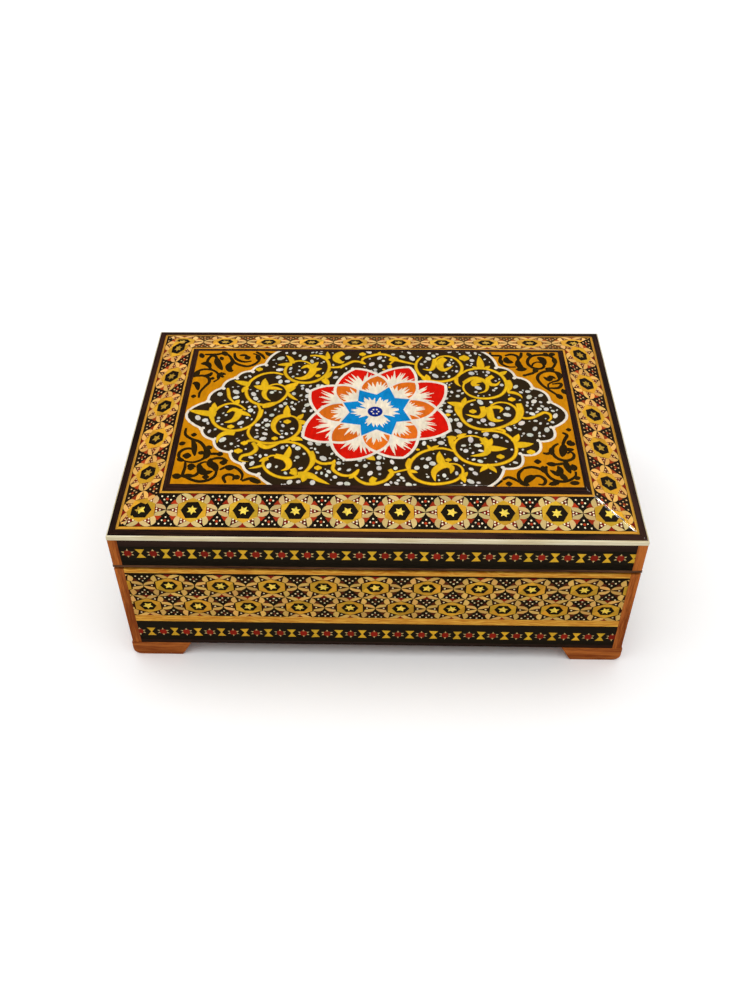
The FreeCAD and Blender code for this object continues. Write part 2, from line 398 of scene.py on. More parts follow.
def flowing(points, steps=5):
    """A smooth line through every point."""
    path = []
    padded = [points[0], *points, points[-1]]
    for before, first, last, after in zip(padded, padded[1:], padded[2:], padded[3:]):
        for step in range(steps):
            t = step / steps
            place = []
            for p, q, r, s in zip(before, first, last, after):
                place.append(0.5 * (2 * q + (r - p) * t + (2 * p - 5 * q + 4 * r - s) * t * t
                                    + (3 * q - p - 3 * r + s) * t ** 3))
            path.append(tuple(place))
    return path + [tuple(points[-1])]


def curl(at, heading, length, turn, steps=9):
    """A line that leaves a point at a heading and keeps turning, a little faster towards its end."""
    path = [at]
    for step in range(steps):
        share = (step + 0.5) / steps
        heading += turn / steps * (0.6 + 0.8 * share)
        dx, dy = polar(length / steps, heading)
        path.append((path[-1][0] + dx, path[-1][1] + dy))
    return path


def as_leaf(t):
    return max(0.05, math.sin(math.pi * t) ** 0.75)


def as_comma(t):
    return max(0.05, math.sin(math.pi * (0.3 + 0.7 * t)) ** 0.8)


def as_stem(t):
    return 0.55 + 0.45 * math.sin(math.pi * min(1.0, t * 1.15)) ** 0.5 if t < 0.87 else 0.62


def as_tuft(t):
    return max(0.04, 1 - t) ** 0.8


def as_dot(t):
    return max(0.35, math.sin(math.pi * t))


def as_line(_):
    return 1.0


class Picture:
    """Coloured shapes on one flat face, each laid over those before it."""

    grid = 3.0
    sliver = 0.002

    def __init__(self, outline, tint, seed):
        self.outline = outline
        self.dice = random.Random(seed)
        self.points = []
        self.shapes = []
        self.colours = []
        self.extents = []
        self.guides = []
        self.rolled = []
        self.roll_width = 1.0
        self.roll_drop = 0.0
        self.taken = {}
        self.lay(outline, linear(tint))

    def tone(self, tint, vary):
        """A colour near this one, because no two bits of wood or strokes of paint are alike."""
        lift = 1 + self.dice.uniform(-vary, vary)
        return tuple(part * lift * (1 + self.dice.uniform(-vary, vary) / 3) for part in linear(tint))

    def shaken(self, points, reach):
        """The same points as an unsteady hand would cut them."""
        roll = self.dice.uniform
        return [(x + roll(-reach, reach), y + roll(-reach, reach)) for x, y in points]

    def lay(self, points, colour):
        points = list(points)
        area = signed_area(points)
        if abs(area) < self.sliver:
            return
        if area < 0:
            points.reverse()
        first = len(self.points)
        self.points += points
        self.shapes.append(list(range(first, len(self.points))))
        self.colours.append(colour)
        self.extents.append([(min(values), max(values)) for values in zip(*points)])

    def dot(self, at, reach, colour, stretch=1.0, degrees=0.0, sides=8):
        ring = [polar(reach, 360 * side / sides) for side in range(sides)]
        self.lay(seated([(x * stretch, y) for x, y in ring], degrees, at), colour)

    def brush(self, path, half_width, profile, colour, clear=False):
        """A stroke along a line, as wide at each step as its profile says."""
        last = len(path) - 1
        left, right = [], []
        for step, (x, y) in enumerate(path):
            before, after = path[max(0, step - 1)], path[min(last, step + 1)]
            dx, dy = after[0] - before[0], after[1] - before[1]
            length = math.hypot(dx, dy) or 1.0
            half = half_width * profile(step / last)
            left.append((x - dy / length * half, y + dx / length * half))
            right.append((x + dy / length * half, y - dx / length * half))
            if clear:
                self.keep_clear((x, y), half)
        for step in range(last):
            self.lay([left[step], left[step + 1], right[step]], colour)
            self.lay([left[step + 1], right[step + 1], right[step]], colour)

    def keep_clear(self, at, reach):
        """Remembers that paint lies here, so that a later dot finds room beside it."""
        cell = (int(at[0] // self.grid), int(at[1] // self.grid))
        self.taken.setdefault(cell, []).append((at, reach))

    def has_room(self, at, reach, gap):
        column, row = int(at[0] // self.grid), int(at[1] // self.grid)
        for near_column in range(column - 1, column + 2):
            for near_row in range(row - 1, row + 2):
                for (x, y), held in self.taken.get((near_column, near_row), ()):
                    if math.hypot(at[0] - x, at[1] - y) < reach + held + gap:
                        return False
        return True

    def roll_off(self, edges, width, drop):
        """Lets the face fall away towards some edges of its outline, as sanded lacquer does."""
        self.roll_width = width
        self.roll_drop = drop
        for edge in edges:
            first = Vector(self.outline[edge])
            last = Vector(self.outline[(edge + 1) % len(self.outline)])
            along = (last - first).normalized()
            inward = Vector((-along.y, along.x))
            self.rolled.append((first, inward))
            for share in (0.25, 0.5, 0.75, 1.0):
                shift = inward * width * share
                self.guides.append((len(self.points), len(self.points) + 1))
                self.points += [tuple(first + shift), tuple(last + shift)]

    def fall(self, point):
        nearest = min([(Vector(point) - first).dot(inward) for first, inward in self.rolled], default=1e9)
        share = max(0.0, 1 - nearest / self.roll_width)
        return self.roll_drop * share * share

    def spans(self, shape, point):
        """Whether a point lies within the reach of a shape; the cutter now and then spills one over all."""
        return all(low <= part <= high for part, (low, high) in zip(point, self.extents[shape]))

    def triangles(self):
        """The face cut into triangles, each with the colour of the topmost shape there."""
        cut = delaunay_2d_cdt(self.points, self.guides, self.shapes, 1, 1e-4, True)
        places, corners, owners = cut[0], cut[2], cut[5]
        kept = []
        for face, owner in zip(corners, owners):
            if 0 in owner:
                middle = sum((places[corner] for corner in face), Vector((0, 0))) / len(face)
                topmost = max([shape for shape in owner if self.spans(shape, middle)], default=0)
                kept.append((face, self.colours[topmost]))
        return places, kept

    def block(self, name, place, drop):
        """A closed block with the picture on its face; place seats the face, drop leads to its back."""
        places, kept = self.triangles()
        used = {}
        for face, _ in kept:
            for corner in face:
                used.setdefault(corner, len(used))
        vertices = [None] * len(used)
        for corner, index in used.items():
            x, y = places[corner]
            vertices[index] = place @ Vector((x * MM, y * MM, -self.fall((x, y)) * MM))
        faces = [[used[corner] for corner in face] for face, _ in kept]
        colours = [colour for _, colour in kept]
        sides = {}
        for face in faces:
            for first, last in zip(face, face[1:] + face[:1]):
                if sides.pop((last, first), None) is None:
                    sides[(first, last)] = True
        lower = {}
        for first, _ in sides:
            lower[first] = len(vertices)
            vertices.append(vertices[first] + drop)
        middle = len(vertices)
        vertices.append(sum((vertices[index] for index in lower.values()), Vector()) / len(lower))
        top_count = len(faces)
        for first, last in sides:
            faces.append([lower[first], lower[last], last, first])
            faces.append([middle, lower[last], lower[first]])
            colours += [self.colours[0]] * 2
        mesh = bpy.data.meshes.new(name)
        mesh.from_pydata([tuple(vertex) for vertex in vertices], [], faces)
        mesh.polygons.foreach_set("use_smooth", [index < top_count for index in range(len(faces))])
        tints = mesh.attributes.new("tint", "FLOAT_COLOR", "FACE")
        tints.data.foreach_set("color", [part for colour in colours for part in (*colour, 1.0)])
        return dressed(name, mesh)


def dressed(name, mesh):
    """A new piece of the box that holds a mesh."""
    piece = bpy.data.objects.new(name, mesh)
    bpy.context.scene.collection.objects.link(piece)
    return piece


def fitted(piece, body, slot, material, *nodes):
    """Gives a piece its finish and its body, and hides the parts of the frame that it stands for."""
    piece.data.materials.append(material)
    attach(piece, body)
    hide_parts(*nodes)
    return piece


# Places of the four sides, turned from the front about the box's middle
low, high = (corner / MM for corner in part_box("bone_line"))
HALF_WIDTH = (high.x - low.x) / 2
HALF_DEPTH = (high.y - low.y) / 2
MIDDLE = Vector(((high.x + low.x) / 2, (high.y + low.y) / 2, 0.0))
SIDES = {"front": 0, "right": 90, "back": 180, "left": 270}
CORNERS = {"front_left": (-1, -1), "front_right": (1, -1), "back_left": (-1, 1), "back_right": (1, 1)}


def half_length(side):
    return HALF_WIDTH if side in ("front", "back") else HALF_DEPTH


def setback(side):
    return HALF_DEPTH if side in ("front", "back") else HALF_WIDTH


def on_side(side, inset, level, tilt):
    """Where a side's flat face lies: across, up the face, and out of it; tilt 90 is upright."""
    across = Vector((1, 0, 0))
    up = Vector((0, math.cos(math.radians(tilt)), math.sin(math.radians(tilt))))
    out = across.cross(up)
    seat = Matrix((across, up, out)).transposed().to_4x4()
    seat.translation = Vector((0, inset - setback(side), level)) * MM
    turn = Matrix.Rotation(math.radians(SIDES[side]), 4, "Z")
    return Matrix.Translation(MIDDLE * MM) @ turn @ seat


def inward(side):
    """The direction from a side's face into the box."""
    return Matrix.Rotation(math.radians(SIDES[side]), 3, "Z") @ Vector((0, 1, 0))


def rectangle(left, right, bottom, top):
    return [(left, bottom), (right, bottom), (right, top), (left, top)]


# Marquetry: a flower's bits, drawn for flowers 19.47 mm apart
FLOWER_PITCH = 19.47
RING_STRETCH = 1.06
HEART_STRETCH = 1.16
STAR_REACH = 2.05
STAR_WAIST = 1.08
STAR_SQUASH = 0.92
DOT_REACH = 0.36
RED_DOT_REACH = 0.62
HAND_SHAKE = 0.09
DOT_SHAKE = 0.16
LEAF_TIP = (9.66, 0.1)
LEAF = bend((5.4, 3.2), (9.1, 3.75), LEAF_TIP, 5) + bend(LEAF_TIP, (8.3, 0.4), (5.6, 1.55), 4)[1:]
UNDER_LEAF = [(x, -y) for x, y in LEAF]
GAP_BIT = [(6.1, 0), (8.8, -1.4), (8.8, 1.4)]
PETAL_BIT = [(5.3, -1.7), (8.55, 0), (5.3, 1.7)]
TRIANGLE_SPOTS = [(0, 3.75), (-1.15, 5.35), (1.2, 5.5), (0.15, 7.2), (-2.3, 7.15), (2.35, 7.4)]
TRIANGLE_HEART = 5.7


def flower(picture, at, pitch, squeeze, bits):
    """Black heart with a brass star, gold ring, six petals of two leaves, and red bits between them."""
    scale = pitch / FLOWER_PITCH
    dice = picture.dice

    def bit(points, degrees, tint, vary, flatten=squeeze):
        placed = picture.shaken(seated(points, degrees, at, scale, flatten), HAND_SHAKE)
        picture.lay(placed, picture.tone(tint, vary))

    for petal in range(6):
        degrees = 60 * petal
        between = degrees + 30
        gap_tint = RED_TIP if between in (90, 270) else bits["red"]
        bit(GAP_BIT, between, gap_tint, 0.25)
        bit(PETAL_BIT, degrees, bits["petal"], 0.3)
        for spot in bits["spots"]:
            centre = picture.shaken(seated([spot], degrees, at, scale, squeeze), HAND_SHAKE)[0]
            picture.dot(centre, DOT_REACH * scale, picture.tone(bits["dot"], 0.12))
        bit(LEAF, degrees, bits["leaf"], 0.16)
        bit(UNDER_LEAF, degrees, bits["leaf"], 0.16)
    heart, ring = bits["heart"], bits["reach"]
    for part in range(6):
        quarter = [polar(heart, 0), polar(ring, 30), polar(ring, 90), polar(heart, 60)]
        placed = seated(quarter, 60 * part, at, scale, squeeze * RING_STRETCH)
        picture.lay(placed, picture.tone(bits["ring"], 0.2))
    bit([polar(heart, 60 * corner) for corner in range(6)], 0, HEART_BLACK, 0.1, squeeze * HEART_STRETCH)
    star(picture, at, scale, dice.choice((5, 6, 6)), dice.uniform(0, 72), bits["star"])


def star(picture, at, scale, points, degrees, tint):
    """A brass star of kite-shaped facets, each in a slightly different tone: painted glints, since the facets
    lie flat in one face.
    """
    step = 360 / points
    for point in range(points):
        angle = degrees + step * point
        for half in (-1, 1):
            facet = [(0, 0), polar(STAR_REACH, angle), polar(STAR_WAIST, angle + half * step / 2)]
            # Painted glint: a random lighter or darker tone for each facet
            picture.lay(seated(facet, 0, at, scale, STAR_SQUASH), picture.tone(tint, 0.2))


def dotted_triangle(picture, tip, up, pitch, squeeze, bits):
    """Cream and red dots in the black gap between flowers; up is 1 above the petal tips, -1 below."""
    scale = pitch / FLOWER_PITCH
    heart = picture.shaken(seated([(0, TRIANGLE_HEART * up)], 0, tip, scale, squeeze), HAND_SHAKE)[0]
    picture.dot(heart, RED_DOT_REACH * scale, picture.tone(bits["red"], 0.25), 1.0, 0, 6)
    for x, y in TRIANGLE_SPOTS:
        centre = picture.shaken(seated([(x, y * up)], 0, tip, scale, squeeze), DOT_SHAKE)[0]
        reach = DOT_REACH * scale * picture.dice.uniform(0.85, 1.1)
        picture.dot(centre, reach, picture.tone(bits["dot"], 0.12))


LINE_LENGTHS = (22, 48)
JOINT_SLANT = 1.2


def inlaid_line(picture, left, right, bottom, top):
    """A thin line of orange wood, let in as lengths with slanted joints."""
    start = left
    while start < right:
        stop = min(right, start + picture.dice.uniform(*LINE_LENGTHS))
        length = [(start, bottom), (stop, bottom), (stop + JOINT_SLANT, top), (start + JOINT_SLANT, top)]
        picture.lay(length, picture.tone(ORANGE_LINE, 0.12))
        start = stop


# Lid marquetry on the slope: a single row of flowers between two orange lines
LID_SQUEEZE = 0.79
LID_LINE_OUTER = 1.05
LID_LINE_INNER = 0.9
LID_FIRST_FLOWER = {"front": -88.4, "right": -54.7, "back": -87.3, "left": -65.7}
MITRE_ROLL = (1.5, 0.16)


def lid_marquetry(side, seed):
    node = "lid_marquetry_" + side
    strip_low, strip_high = (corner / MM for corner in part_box("lid_marquetry_front"))
    skin = (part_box("painted_panel")[1].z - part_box("painted_panel")[0].z) / MM
    outer_level = strip_low.z + skin
    run = strip_high.y - strip_low.y
    rise = strip_high.z - outer_level
    outer_inset = HALF_WIDTH - strip_high.x
    slope_length = math.hypot(run, rise)
    outer_half = half_length(side) - outer_inset
    inner_half = outer_half - run
    outline = [(-outer_half, 0), (outer_half, 0), (inner_half, slope_length), (-inner_half, slope_length)]
    # Side and back slopes take the lit and shaded copies of the tints: painted light
    bits = {"front": FRONT_BITS, "back": BACK_SHEEN_LIT_BITS}.get(side, SIDE_SLOPE_LIT_BITS)
    picture = Picture(outline, bits["ground"], seed)
    row = LID_LINE_OUTER + (slope_length - LID_LINE_OUTER - LID_LINE_INNER) / 2
    centre = LID_FIRST_FLOWER[side]
    while centre < outer_half + FLOWER_PITCH / 2:
        for up in (1, -1):
            dotted_triangle(picture, (centre - FLOWER_PITCH / 2, row), up, FLOWER_PITCH, LID_SQUEEZE, bits)
        flower(picture, (centre, row), FLOWER_PITCH, LID_SQUEEZE, bits)
        centre += FLOWER_PITCH
    inlaid_line(picture, -outer_half, outer_half, 0, LID_LINE_OUTER)
    inlaid_line(picture, -outer_half, outer_half, slope_length - LID_LINE_INNER, slope_length)
    picture.roll_off((1, 3), *MITRE_ROLL)
    place = on_side(side, outer_inset, outer_level, math.degrees(math.atan2(rise, run)))
    piece = picture.block("inlaid_" + node, place, Vector((0, 0, -skin * MM)))
    fitted(piece, "lid", "marquetry", LID_INLAY, node)


# Body marquetry: two staggered rows whose petal tips meet
BODY_PITCH = 20.0
BODY_SQUEEZE = 0.735
ROW_LEVELS = (44.9, 32.2)


def wall_skin(node, side):
    """A wall skin's half-length, lowest and highest level, and thickness."""
    skin_low, skin_high = (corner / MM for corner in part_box(node))
    size = skin_high - skin_low
    along, thick = (size.x, size.y) if side in ("front", "back") else (size.y, size.x)
    return along / 2, skin_low.z, skin_high.z, thick


def body_marquetry(side, seed):
    node = "marquetry_" + side
    half, bottom, top, thick = wall_skin(node, side)
    picture = Picture(rectangle(-half, half, bottom, top), BODY_BITS["ground"], seed)
    reach = math.ceil(half / BODY_PITCH) + 1
    for row, level in enumerate(ROW_LEVELS):
        for count in range(-reach, reach + 1):
            centre = (count + row / 2) * BODY_PITCH
            tip = (centre - BODY_PITCH / 2, level)
            for up in (1, -1):
                dotted_triangle(picture, tip, up, BODY_PITCH, BODY_SQUEEZE, BODY_BITS)
            flower(picture, (centre, level), BODY_PITCH, BODY_SQUEEZE, BODY_BITS)
    piece = picture.block("inlaid_" + node, on_side(side, 0, 0, 90), inward(side) * thick * MM)
    fitted(piece, "box", "marquetry", WALL_INLAY, node)


# Dark bands of bow-ties and red diamonds
BOW_WIDTH = 3.5
BOW_HEIGHT = 4.9
BOW_WAIST = 0.5
STONE = [(-1.6, 0), (-0.8, -1.6), (0.8, -1.6), (1.6, 0), (0.8, 1.6), (-0.8, 1.6)]
STONE_POINTS = ((90, 2.55), (270, 2.55), (23, 2.6), (157, 2.6), (203, 2.6), (337, 2.6))
POINT_LENGTH = 1.05
POINT_HALF_WIDTH = 0.42
BAND_SHAKE = 0.12
POINT_SHAKE = 0.07


def bow_tie(picture, at):
    half, tall, waist = BOW_WIDTH / 2, BOW_HEIGHT / 2, BOW_WAIST / 2
    outline = [(-half, -tall), (half, -tall), (waist, 0), (half, tall), (-half, tall), (-waist, 0)]
    picture.lay(picture.shaken(seated(outline, 0, at), BAND_SHAKE), picture.tone(GOLD_WOOD, 0.1))


def diamond(picture, at):
    """A red six-sided stone with an ivory point on each side."""
    picture.lay(picture.shaken(seated(STONE, 0, at), BAND_SHAKE), picture.tone(BAND_RED, 0.2))
    for angle, reach in STONE_POINTS:
        root = reach - POINT_LENGTH
        point = [(reach, 0), (root, POINT_HALF_WIDTH), (root, -POINT_HALF_WIDTH)]
        picture.lay(picture.shaken(seated(point, angle, at), POINT_SHAKE), picture.tone(IVORY, 0.1))


def band(node, side, body, first, period, level, rosewood, seed):
    """One band: rosewood gives the levels between which its edge is dark brown."""
    half, bottom, top, thick = wall_skin(node, side)
    picture = Picture(rectangle(-half, half, bottom, top), BAND_BLACK, seed)
    picture.lay(rectangle(-half, half, *rosewood), linear(ROSEWOOD))
    centre = first
    while centre < half + period:
        diamond(picture, (centre, level))
        bow_tie(picture, (centre + period / 2, level))
        centre += period
    piece = picture.block("inlaid_" + node, on_side(side, 0, 0, 90), inward(side) * thick * MM)
    fitted(piece, body, "dark_band", WALL_INLAY, node)


# Where the first diamond stands: on the front, and how far in from the end of the other bands
LID_BAND_FIRST = -93.1
LID_BAND_MARGIN = 3.4
LID_BAND_PERIOD = 9.68
LID_BAND_LEVEL = 63.9
LID_BAND_ROSEWOOD = 3.4
BASE_BAND_FIRST = -95.8
BASE_BAND_MARGIN = 0.4
BASE_BAND_PERIOD = 9.54
BASE_BAND_LEVEL = 15.2
BASE_BAND_ROSEWOOD = 2.1


def bands(side, seed):
    half, _, top, _ = wall_skin("lid_band_" + side, side)
    first = LID_BAND_FIRST if side == "front" else LID_BAND_MARGIN - half
    rosewood = (top - LID_BAND_ROSEWOOD, top)
    band("lid_band_" + side, side, "lid", first, LID_BAND_PERIOD, LID_BAND_LEVEL, rosewood, seed)
    half, bottom, _, _ = wall_skin("base_band_" + side, side)
    first = BASE_BAND_FIRST if side == "front" else BASE_BAND_MARGIN - half
    rosewood = (bottom, bottom + BASE_BAND_ROSEWOOD)
    band("base_band_" + side, side, "box", first, BASE_BAND_PERIOD, BASE_BAND_LEVEL, rosewood, seed + 1)


# The painted panel, drawn about its middle
PANEL_LOW, PANEL_HIGH = (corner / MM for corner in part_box("painted_panel"))
PANEL_HALF_X = (PANEL_HIGH.x - PANEL_LOW.x) / 2
PANEL_HALF_Y = (PANEL_HIGH.y - PANEL_LOW.y) / 2

# Inward points of the scalloped frame, with the swell of the scallop after each point
CUSPS_LEFT = [
    (-40.5, 41.5, 0.12), (-47.8, 30.6, 0.2), (-53.2, 26.0, 0.2), (-59.5, 21.6, 0.2), (-64.5, 15.0, 0.2),
    (-69.5, 6.6, 0.48), (-70.0, -9.4, 0.2), (-64.2, -15.6, 0.24), (-57.0, -22.7, 0.2),
    (-51.4, -29.2, 0.2), (-45.0, -35.0, 0.08), (-37.4, -41.5, 0.0),
]
CUSPS_RIGHT = [
    (40.0, -41.5, 0.14), (48.8, -30.5, 0.36), (56.2, -22.9, 0.36), (64.0, -15.4, 0.36),
    (70.0, -7.6, 0.42), (70.8, 7.4, 0.22), (64.6, 15.9, 0.22), (58.1, 22.8, 0.22), (50.9, 29.5, 0.14),
    (43.4, 41.5, 0.0),
]
FRAME_WIDTH = 1.1
WEDGE_REACH = 1.75
KNOB_REACH = 0.8


def scallops(cusps):
    """The brown field's edge through these points."""
    path = []
    for (x, y, rise), (next_x, next_y, _) in zip(cusps, cusps[1:]):
        path += bowed((next_x, next_y), (x, y), rise, 8)[::-1][:-1]
    return path + [cusps[-1][:2]]


def scalloped_frame(picture):
    """Brown field inside a white scalloped line with a knob at each inward point, on the amber ground."""
    white = picture.tone(PAINT_WHITE, 0.02)
    knobs = [(x, y) for x, y, _ in CUSPS_LEFT[1:-1] + CUSPS_RIGHT[1:-1]]
    edges = [scallops(CUSPS_LEFT), scallops(CUSPS_RIGHT)]
    for edge in edges:
        picture.brush(edge, FRAME_WIDTH, as_line, white, True)
    for at in knobs:
        picture.dot(at, WEDGE_REACH, white, 1.0, 0, 12)
    field = edges[0] + edges[1]
    picture.lay(field, linear(PANEL_BROWN))
    for at in knobs:
        picture.dot(at, KNOB_REACH, white, 1.0, 0, 10)
        picture.keep_clear(at, KNOB_REACH)
    return field


def inside(point, outline):
    """Whether a point lies in an outline."""
    x, y = point
    within = False
    for (ax, ay), (bx, by) in zip(outline, outline[1:] + outline[:1]):
        if (ay > y) != (by > y) and x < ax + (y - ay) / (by - ay) * (bx - ax):
            within = not within
    return within


# Gold scrolls, each a line through its points that ends inside its own round
SCROLLS = [
    [(-29.3, 37.2), (-25.8, 37.2), (-22.2, 34.8), (-20.6, 30.3), (-21.5, 25.0), (-25.2, 20.6),
     (-30.5, 19.0), (-36.0, 20.7), (-39.2, 25.0), (-39.1, 29.2), (-36.8, 32.6), (-33.0, 33.7),
     (-29.5, 32.2), (-27.8, 29.8)],
    [(-40.0, 24.3), (-44.5, 25.6), (-49.6, 24.2), (-53.6, 20.0), (-55.0, 14.4), (-53.4, 8.8),
     (-49.8, 5.6), (-44.5, 4.8), (-39.8, 7.6), (-37.4, 12.4), (-38.8, 16.3), (-42.4, 18.1), (-46.2, 16.6)],
    [(-49.4, 5.4), (-47.8, 1.4), (-48.2, -2.8), (-50.4, -7.4), (-54.4, -10.2), (-59.0, -10.8),
     (-63.8, -8.8), (-66.9, -4.6), (-66.8, -0.2), (-64.6, 3.6), (-60.6, 5.6), (-56.6, 4.4), (-53.9, 1.6)],
    [(-50.9, -8.5), (-51.5, -12.0), (-49.2, -16.0), (-44.0, -18.0), (-38.5, -17.4), (-33.8, -15.0),
     (-31.0, -10.8), (-31.0, -6.0), (-33.2, -2.6), (-36.8, -1.4)],
    [(-40.0, -18.2), (-35.0, -17.2), (-30.0, -18.8), (-26.4, -22.8), (-25.0, -28.0), (-26.8, -33.2),
     (-31.0, -36.6), (-36.4, -36.8), (-41.2, -34.2), (-43.8, -30.2), (-43.2, -27.0), (-41.0, -25.0),
     (-38.0, -25.2)],
    [(19.4, 36.9), (17.2, 33.4), (16.7, 29.4), (18.2, 24.8), (21.8, 21.3), (27.0, 20.2), (32.5, 22.2),
     (35.8, 26.5), (36.3, 31.0), (34.2, 35.2), (30.5, 37.4), (26.8, 36.6), (24.7, 33.8)],
    [(35.4, 25.0), (38.6, 27.8), (44.2, 29.2), (49.0, 27.8), (52.6, 24.8), (54.4, 20.0), (53.9, 15.5),
     (51.2, 11.6), (46.5, 9.7), (41.5, 10.0), (37.8, 12.4), (36.2, 16.5), (37.2, 20.2)],
    [(41.0, 8.8), (37.2, 7.2), (34.8, 4.0), (34.2, 0.0), (34.9, -3.6), (37.6, -7.2), (42.0, -9.1),
     (47.0, -8.9), (52.0, -6.8), (56.0, -3.2), (57.4, 1.0), (56.4, 4.6), (53.4, 6.9), (49.8, 7.1),
     (46.8, 5.2)],
    [(42.0, -10.6), (46.5, -10.0), (51.0, -11.4), (54.2, -15.4), (55.0, -20.0), (53.6, -24.8),
     (49.5, -28.0), (44.0, -29.4), (38.0, -28.8), (33.6, -26.4), (31.0, -22.4), (30.6, -18.4),
     (32.2, -15.2), (35.4, -13.3), (39.2, -13.1), (42.4, -14.8)],
    [(30.6, -21.8), (26.0, -20.2), (21.0, -21.0), (16.5, -23.6), (13.4, -28.0), (12.8, -33.0),
     (15.0, -37.0), (19.5, -39.3), (25.0, -39.4), (30.0, -37.8), (33.0, -34.6), (33.2, -31.2),
     (31.2, -29.0), (28.0, -28.8)],
]

# Waving stems that join the scrolls
STEMS = [
    [(-20.6, 29.3), (-16.4, 29.6), (-13.6, 31.2), (-10.4, 33.4), (-7.6, 33.2), (-5.0, 31.8)],
    [(-6.6, 34.0), (-5.8, 35.8), (-3.0, 37.2), (1.0, 38.5), (5.0, 37.6), (7.2, 34.8), (5.6, 31.8)],
    [(7.0, 34.4), (9.0, 34.2), (12.6, 32.9), (16.6, 31.6)],
    [(-26.4, -22.6), (-24.0, -27.0), (-20.8, -29.2), (-16.6, -29.0), (-16.6, -32.2), (-13.8, -35.0),
     (-10.6, -35.6), (-8.4, -34.4), (-6.8, -32.4)],
    [(-8.6, -35.2), (-6.4, -38.2), (-3.2, -39.8), (0.6, -39.4), (4.0, -37.6), (5.8, -34.2), (8.0, -33.3),
     (12.6, -31.8)],
    [(-62.9, 15.4), (-62.2, 12.4), (-61.4, 9.2), (-59.2, 6.2)],
    [(-48.2, -16.6), (-50.4, -16.6), (-52.2, -17.8)],
    [(48.4, -8.8), (51.0, -9.8), (50.6, -11.4)],
    [(58.0, -1.6), (60.4, -2.4), (63.0, -2.0), (66.0, -0.2), (68.4, 1.2), (70.4, 0.0), (70.6, -2.2),
     (69.4, -3.9)],
]
STEM_HALF_WIDTH = 0.8
GOLD_EDGE = 0.26

# Fat curls with a pointed end: a line through points, and the half-width where it is fattest
COMMAS = [
    ([(-27.7, 30.4), (-27.6, 26.6), (-29.2, 23.4), (-32.0, 21.9), (-35.2, 22.3)], 1.75),
    ([(-27.4, 28.0), (-30.0, 30.2), (-32.8, 28.4)], 1.25),
    ([(-45.6, 16.9), (-47.2, 12.8), (-46.4, 9.4), (-44.0, 7.2)], 1.15),
    ([(-46.6, 15.8), (-42.8, 15.4), (-39.6, 14.5)], 1.1),
    ([(-56.4, 2.2), (-56.8, -1.8), (-58.4, -4.8), (-61.8, -6.1)], 1.6),
    ([(-56.6, 0.8), (-59.2, 2.0), (-61.4, -0.2)], 1.25),
    ([(-67.8, 3.2), (-67.6, -2.0), (-65.6, -7.0)], 1.3),
    ([(-47.4, 2.0), (-48.0, -2.6), (-50.0, -7.0)], 1.15),
    ([(-56.8, -12.6), (-60.4, -12.2), (-63.0, -14.6), (-63.3, -18.1)], 1.3),
    ([(-35.0, -1.3), (-39.6, -2.6), (-41.7, -6.8), (-40.8, -10.8), (-38.2, -13.3)], 1.3),
    ([(-49.0, -17.6), (-47.3, -21.2), (-49.2, -24.0), (-52.4, -25.2), (-53.0, -27.8), (-49.6, -28.5)], 1.0),
    ([(-47.0, -18.0), (-44.0, -20.2), (-41.2, -19.6), (-37.6, -17.4)], 1.2),
    ([(-39.6, -25.0), (-35.6, -26.4), (-33.8, -29.4), (-34.4, -32.0), (-36.6, -33.2)], 1.5),
    ([(-25.6, -22.4), (-24.4, -28.0), (-26.6, -33.6)], 1.15),
    ([(-14.8, 39.4), (-17.4, 37.4), (-17.8, 34.8), (-15.6, 32.9), (-14.2, 33.4)], 1.75),
    ([(-9.0, -35.8), (-7.6, -34.0), (-6.5, -32.0)], 1.1),
    ([(-0.4, -36.4), (-1.4, -38.6), (0.8, -39.6)], 1.35),
    ([(6.0, 33.8), (7.4, 35.6), (9.6, 33.8)], 1.5),
    ([(29.4, 35.8), (27.3, 33.4), (27.0, 30.0), (28.8, 27.9), (32.6, 30.8)], 1.75),
    ([(25.0, 35.4), (24.3, 30.6), (22.8, 28.0), (19.4, 28.5)], 1.15),
    ([(36.6, 19.4), (40.2, 22.4), (43.8, 22.0), (46.3, 19.0), (45.6, 14.6), (42.2, 12.8)], 1.15),
    ([(44.0, 21.2), (41.4, 20.4), (40.8, 18.2), (43.4, 18.3)], 1.5),
    ([(49.2, 24.0), (46.9, 21.8), (47.6, 18.9), (50.2, 18.4), (52.0, 20.8)], 1.25),
    ([(55.2, 21.4), (55.9, 17.4), (54.4, 13.6)], 1.3),
    ([(33.4, 6.6), (33.0, 2.4), (33.8, -2.0)], 1.25),
    ([(58.4, 6.6), (58.7, 1.6), (57.2, -3.2), (53.8, -6.6)], 1.5),
    ([(46.0, 4.2), (46.2, 0.4), (46.6, -2.6), (48.6, -3.9), (51.4, -3.6)], 1.6),
    ([(46.0, 3.8), (49.2, 4.4), (51.2, 3.2), (50.2, 1.0)], 1.05),
    ([(43.3, 4.6), (43.7, 0.8), (41.4, -1.8), (36.2, -0.2)], 1.35),
    ([(29.5, -13.8), (29.9, -18.0), (31.2, -23.0)], 1.2),
    ([(42.0, -14.2), (44.0, -18.6), (42.6, -23.0), (36.8, -24.4)], 1.7),
    ([(28.4, -29.0), (24.8, -30.2), (22.2, -33.6), (22.6, -38.2)], 1.7),
    ([(26.4, -29.0), (29.2, -30.8), (28.6, -34.0)], 1.3),
    ([(13.6, -26.2), (12.4, -29.8), (13.4, -34.6)], 1.25),
    ([(5.2, -32.0), (6.2, -34.6), (3.8, -38.4)], 1.0),
]

